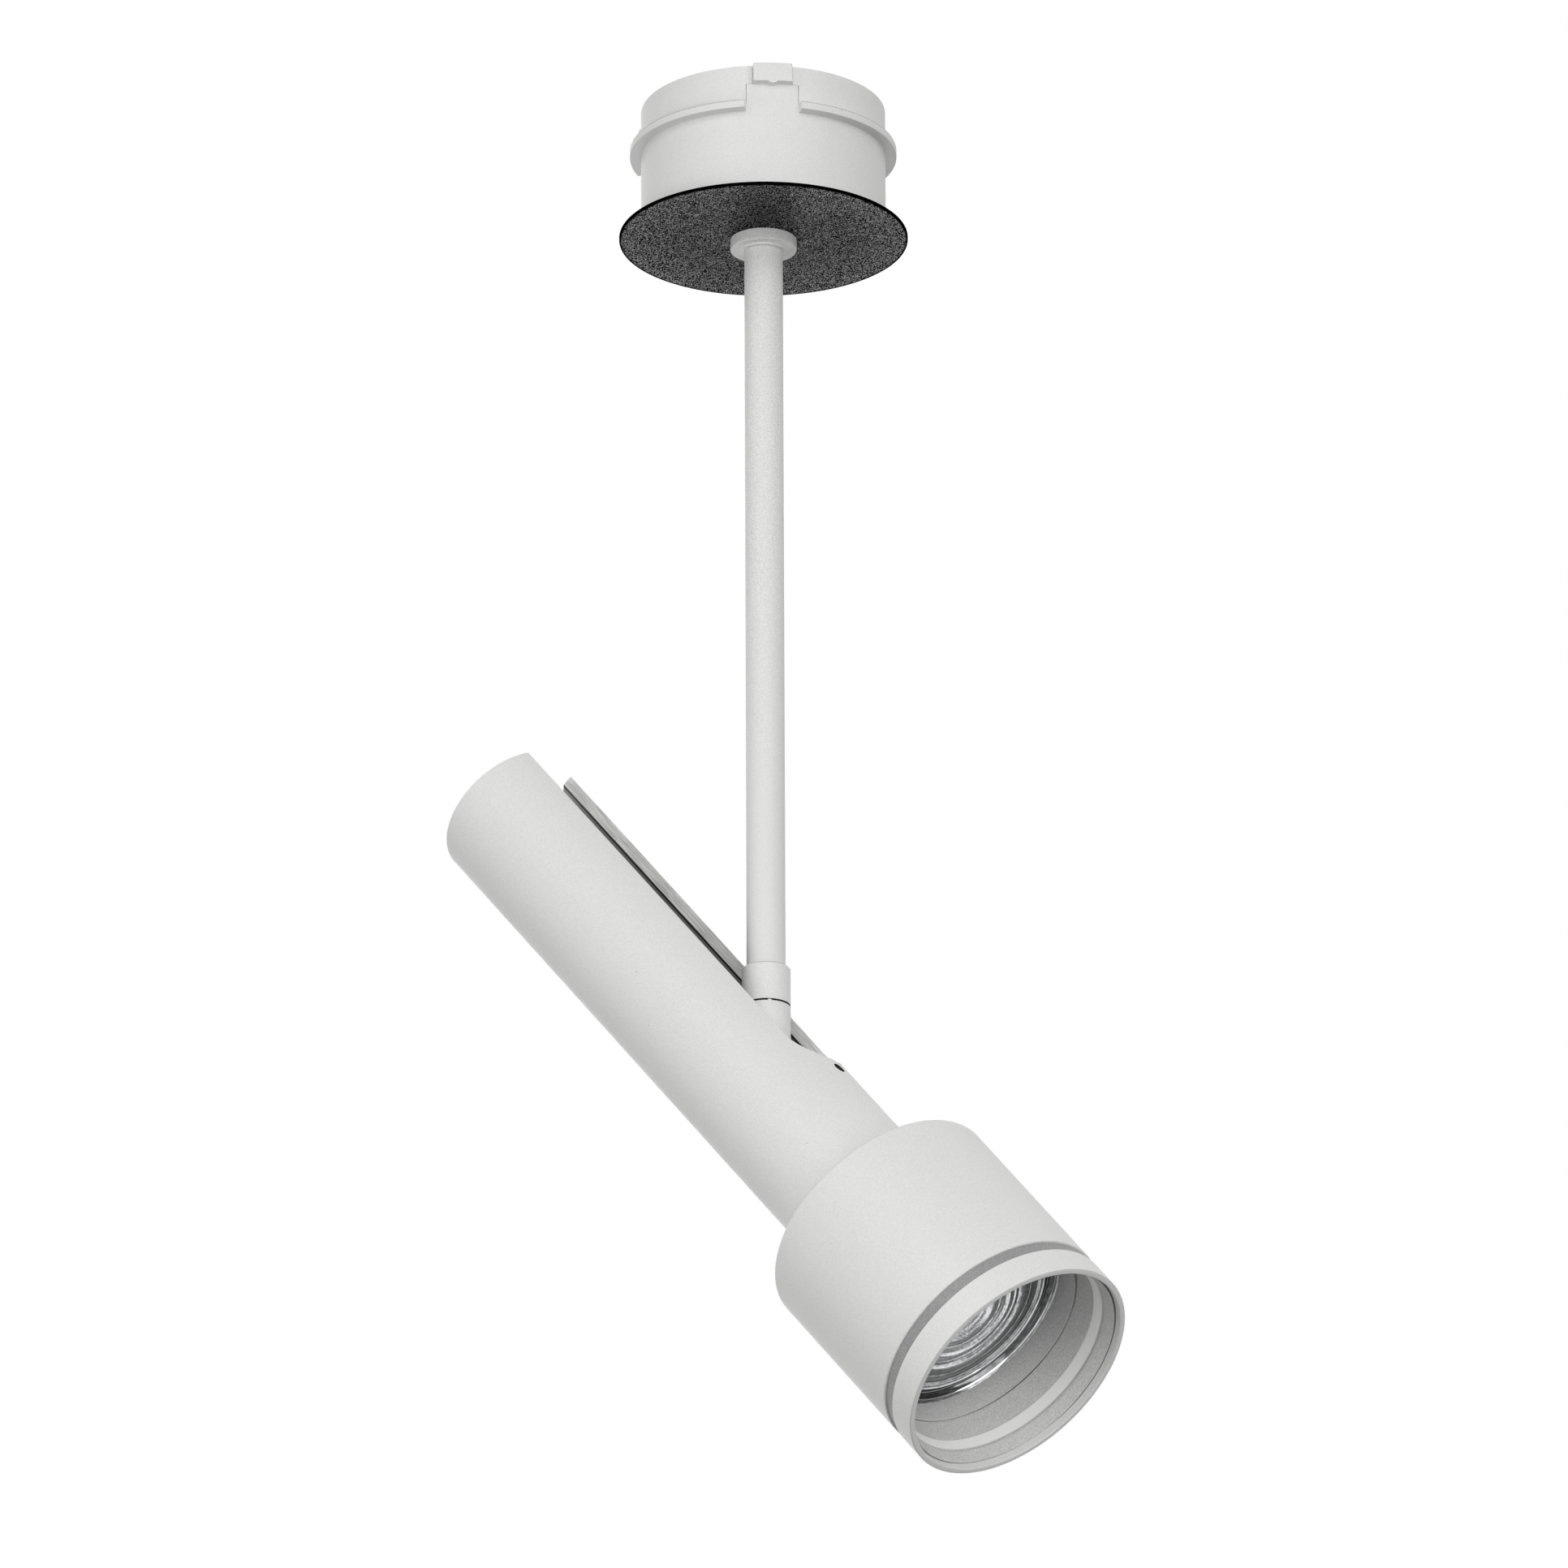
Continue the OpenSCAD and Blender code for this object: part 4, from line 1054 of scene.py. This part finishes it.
def makeCup():
    look = cupShape
    radii = [stemHole, cupBore - look["ledgeWidth"], cupBore, cupRadius, lipRadius]
    heights = [cupFoot, look["floor"], look["ledgeLow"], look["ledgeHigh"], look["lipLow"], lipHigh,
               look["headLow"], cupTop]
    latches = [math.radians(look["latchTurn"] + 120 * n) for n in range(3)]
    lipHalf = math.radians(look["lipGapRear"] / 2)

    def windowTurns(radius):
        return [math.asin(look[half] / radius) for half in ("footHalf", "headHalf")]

    lines = []
    for radius in radii:
        foot, head = windowTurns(max(cupBore, min(cupRadius, radius)))
        breaks = []
        for n, turn in enumerate(latches):
            breaks += [turn - foot, turn - head] + ([turn - lipHalf, turn + lipHalf] if n else [])
            breaks += [turn + head, turn + foot]
        lines.append(breaks + [breaks[0] + 2 * math.pi])
    step = math.radians(look["columnTurn"])
    counts = [max(1, round((b - a) / step)) for a, b in zip(lines[3], lines[3][1:])]

    def columns(row, shift):
        return [a + (b - a) * (m + shift) / count for count, a, b in zip(counts, row, row[1:])
                for m in range(count)]

    middles = np.array(columns(lines[3], 0.5))
    fullLines = [columns(row, 0) for row in lines]
    foot, head = windowTurns(cupRadius)

    def near(turn, half):
        return np.abs((middles - turn + math.pi) % (2 * math.pi) - math.pi) < half

    filled = np.zeros((len(radii) - 1, len(middles), len(heights) - 1), bool)
    filled[:3, :, 0] = True
    filled[2, :, :] = True
    filled[1, :, 2] = True
    filled[3, :, 4] = True
    for n, turn in enumerate(latches):
        filled[2, near(turn, foot), 5] = False
        filled[2, near(turn, head), 6] = False
        filled[3, near(turn, foot if n == 0 else lipHalf), 4] = False
    mesh = cellSolid("recessCup", radii, fullLines, heights, filled, True)
    hole, outside = look["postHole"], look["postRadius"]
    low, high = look["floor"] + look["postGap"], look["ledgeHigh"]
    outline = [(hole, low), (outside, low), (outside, high), (hole, high)]
    toPost = Matrix.Translation((look["postRing"] * mm, 0, 0))
    posts = [lathe("post", outline, Matrix.Rotation(math.radians(turn), 4, "Z") @ toPost, 32)
             for turn in look["postTurns"]]
    return closeMesh(mesh, others=posts)


def makeLatch(number):
    look = latchShape
    turn = math.radians(cupShape["latchTurn"] - 120 * number)
    radii = [cupBore, cupRadius, cupRadius + look["headOut"] - look["topRound"], cupRadius + look["headOut"]]
    heights = [lipHigh - look["rootLow"], lipHigh - look["rootHigh"], cupShape["headLow"],
               look["top"] - look["topRound"], look["top"]]
    foot, head = cupShape["footHalf"] - look["slit"], cupShape["headHalf"] - look["slit"]
    nub = math.sqrt(look["nubRadius"] ** 2 - (look["nubRadius"] - look["nubDrop"]) ** 2)
    offsets = spread([-foot, -head, -nub], look["columnWidth"])
    offsets += spread([-nub, nub], look["nubColumnWidth"])
    offsets += spread([nub, head, foot], look["columnWidth"]) + [foot]
    lines = [[turn + math.asin(offset / radius) for offset in offsets] for radius in radii]
    middles = np.array([(a + b) / 2 for a, b in zip(offsets, offsets[1:])])
    filled = np.zeros((len(radii) - 1, len(middles), len(heights) - 1), bool)
    filled[0, :, :2] = True
    filled[:, np.abs(middles) < head, 2:] = True

    def move(i, j, k, r, angle, z):
        if k < 2:
            r += (-look["rootSink"] if k == 0 else look["rootProud"]) * (1 if i else -1)
        if k == 2 and i >= 1 and abs(offsets[j]) < nub:
            z -= math.sqrt(look["nubRadius"] ** 2 - offsets[j] ** 2) - (look["nubRadius"] - look["nubDrop"])
        if i == 3 and k == 4:
            drop = look["topRound"] * (1 - math.sqrt(0.5))
            r, z = r - drop, z - drop
        return r, angle, z

    return closeMesh(cellSolid("latch", radii, lines, heights, filled, False, move))


cup = addPiece("recessCupShell", makeCup(), "ceiling_unit", "cup_plastic", "recess_cup", "cup")
addEdge(cup, cupShape["edge"])
addNormals(cup)
for number, side in enumerate(("front", "left", "right")):
    latch = addPiece(side + "Latch", makeLatch(number), side + "_latch", "cup_plastic", "latch_" + side,
                     "latch")
    addEdge(latch, latchShape["edge"], angle=30)
    addNormals(latch)
print("cup and latches built")

# Front rings of the head, with the narrow gaps between them that read as dark lines
frontRings = {
    "edge": 0.4,
    "smallEdge": 0.12,
    "rimWidth": 1.6,
    "trimDepth": 1.9,
    "trimStep": 0.6,
    "shade": 0.83,  # height of the shadow gap over the diffuser ring
    "bandOpen": 0.55,  # the white band widens by this much towards the rim
    "seam": 0.12,  # gap between the taper and the diffuser ring
    "seamDepth": 0.3,
    "lineWidth": 0.4,  # gap at the foot of the rim's inner wall
    "lineDepth": 0.6,
    "baffleLip": 0.3,  # front lip of the baffle, with a dark gap between it and the shell
    "baffleGap": 0.85,
    "gapFoot": 0.5,
    "ringStep": 1.3,  # between the outsides of the diffuser ring's two bands
    "fit": 0.05,  # play between the bezel and the diffuser ring
}


def bezelOutline():
    look = frontRings
    small, fit, edge = look["smallEdge"], look["fit"], look["edge"]
    step, recess = ringRadius - look["ringStep"] + fit, headRadius - look["rimWidth"]
    line, band = recess - look["lineWidth"], bezelBore + look["bandOpen"]
    floor, lip = rimStation - look["trimDepth"], bezelBack + frontLip
    return [(step, bezelBack, small), (headRadius, bezelBack, 2 * small), (headRadius, rimStation, edge),
            (recess, rimStation, edge), (recess, floor - look["lineDepth"], 0),
            (line, floor - look["lineDepth"], 0), (line, floor, small),
            (recess - look["trimStep"], floor, small), (band, lip + look["shade"], small),
            (band, lip + look["seam"], 0), (band + look["seamDepth"], lip + fit, 0), (step, lip + fit, 0)]


def diffuserOutline():
    look = frontRings
    step, small = ringRadius - look["ringStep"], look["smallEdge"]
    innerBack, outerFront = ringBack + frontLip, ringFront - frontLip
    return [(ringBore, innerBack, small), (step, innerBack, 0), (step, ringBack, 0),
            (ringRadius, ringBack, small), (ringRadius, outerFront, small), (step, outerFront, 0),
            (step, ringFront, 0), (ringBore + look["bandOpen"], ringFront, 2 * small)]


def baffleOutline():
    look = frontRings
    foot, small = baffleFront - look["baffleGap"], look["smallEdge"]
    return [(baffleBore, baffleBack, 0), (shellBore, baffleBack, 0), (shellBore, foot, 0),
            (baffleBore + look["gapFoot"], foot, 0), (baffleBore + look["baffleLip"], baffleFront, small / 3),
            (baffleBore, baffleFront, small / 2)]


for name, outline, slot, node, paint in (
        ("frontBezel", bezelOutline(), "white_powder_coat", "front_bezel", "bezel"),
        ("diffuserRing", diffuserOutline(), "opal_plastic", "diffuser_ring", "opal"),
        ("baffleRing", baffleOutline(), "white_powder_coat", "baffle_ring", "baffle")):
    mesh = lathe(name, roundCorners(outline), lampFrame, 300)
    addNormals(addPiece(name, mesh, "lamp", slot, node, paint))
print("front rings built")

# Lens: a ring of mirror-like steps round a clear dome over the light source. The front is a list of
# (radius, depth under the flange's front); a step that falls inwards catches the light of the opening.
ringLens = {
    "domeRadius": 4.65,
    "domeDepth": 1.3,
    "domeEdge": 2.7,
    "front": (
        (4.7, 2.6), (5.2, 3.0), (6.7, 3.0), (8.5, 1.7), (8.9, 1.75), (10.6, 2.2), (11.0, 2.05), (12.8, 2.5),
        (13.6, 1.8), (13.9, 1.9), (15.2, 2.2), (15.5, 2.0), (16.7, 2.35), (17.4, 1.75), (17.8, 1.85),
        (20.0, 2.3), (20.2, 2.15), (22.6, 2.65), (23.1, 2.1), (23.35, 2.15), (23.7, 2.5), (24.1, 2.0),
        (24.4, 2.1), (24.7, 3.0), (26.0, 3.2), (26.2, 3.05), (27.2, 3.2), (27.4, 2.4), (27.9, 1.7)),
    "clear": 27.95,
    "flangeDrop": 0.4,
    "flangeThick": 0.6,
    "backSlope": 3.2,
    "backStep": 1.0,
    "backIn": 2.5,  # from the clear radius to the top of the back's slope
    "backFlat": 2.2,  # radius of the flat back, in dome radii
    "edge": 0.12,
}
lensRadius, lensBack, lensFront = measure("lens", lampFrame)[1:]


def makeLensRing():
    look = ringLens
    flange = lensFront - look["flangeDrop"]
    under = flange - look["flangeThick"]
    corners = [(r, lensFront - depth, look["edge"]) for r, depth in look["front"]]
    corners += [(lensRadius, flange, look["edge"]), (lensRadius, under, 0),
                (look["clear"] - look["backStep"], under - look["backStep"], 0),
                (look["clear"] - look["backIn"], lensBack + look["backSlope"], 0),
                (look["backFlat"] * look["domeRadius"], lensBack, 0), (look["front"][0][0], lensBack, 0)]
    return lathe("lensRing", roundCorners(corners, 2), lampFrame)


def makeLensDome():
    look = ringLens
    r, high, low = look["domeRadius"], lensFront - look["domeDepth"], lensFront - look["domeEdge"]
    dome = [(r * math.cos(turn), low + (high - low) * math.sin(turn))
            for turn in np.linspace(0, math.pi / 2, 13)]
    return lathe("lensDome", dome + [(0, lensBack), (r, lensBack)], lampFrame, 96)


addNormals(addPiece("lensRing", makeLensRing(), "lamp", "clear_lens", "lens", "facets"))
addPiece("lensDome", makeLensDome(), "lamp", "clear_lens", "lens", "acrylic")
print("lens built")

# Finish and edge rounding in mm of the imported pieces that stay
finishes = {
    "nylon": {"cup_lid": 0.15, "terminal_block": 0.15, "cable_clamp": 0.2, "led_board": 0.1,
              "led_holder": 0.1, "lens_seat": 0.1},
    "driver": {"led_driver": 0.2},
    "rubber": {"cable_grommet": 0, "friction_washer": 0},
    "stem": {"stem_flange": 0, "stem_tube": 0},
    "swivel": {"swivel_collar": 0, "swivel_knuckle": 0},
    "shell": {"head_shell": 0},
    "brass": {"terminal_screws": 0.06},
    "zinc": {"lid_screws": 0.08, "clamp_screws": 0.08, "hinge_screw": 0.08, "head_screws": 0.1,
             "board_screws": 0.08},
    "steel": {"lock_washer": 0.08, "stem_locknut": 0.2, "swivel_spigot": 0.1, "pivot_washers": 0,
              "pivot_bolt": 0.12, "pivot_nut": 0.12},
    "aluminium": {"hinge_yoke": 0.15, "tube_plug": 0.15, "tube_nut": 0.1, "heat_sink": 0.12},
    "led": {"led_emitter": 0.08},
}
weldReach = 0.001
flatAngle, edgeAngle = 0.6, 35  # degrees; faces that are flat to the first are joined


def finishNode(piece, paint, rounding):
    piece.data.materials.clear()
    piece.data.materials.append(paint)
    if not rounding:
        return
    weld = piece.modifiers.new("weld", "WELD")
    weld.merge_threshold = weldReach * mm
    flat = piece.modifiers.new("flatFaces", "DECIMATE")
    flat.decimate_type = "DISSOLVE"
    flat.angle_limit = math.radians(flatAngle)
    addEdge(piece, rounding, angle=edgeAngle)
    addNormals(piece)


for paint, pieces in finishes.items():
    for name, rounding in pieces.items():
        finishNode(nodes[name], materials[paint], rounding)
print("finishes:", sum(len(pieces) for pieces in finishes.values()))
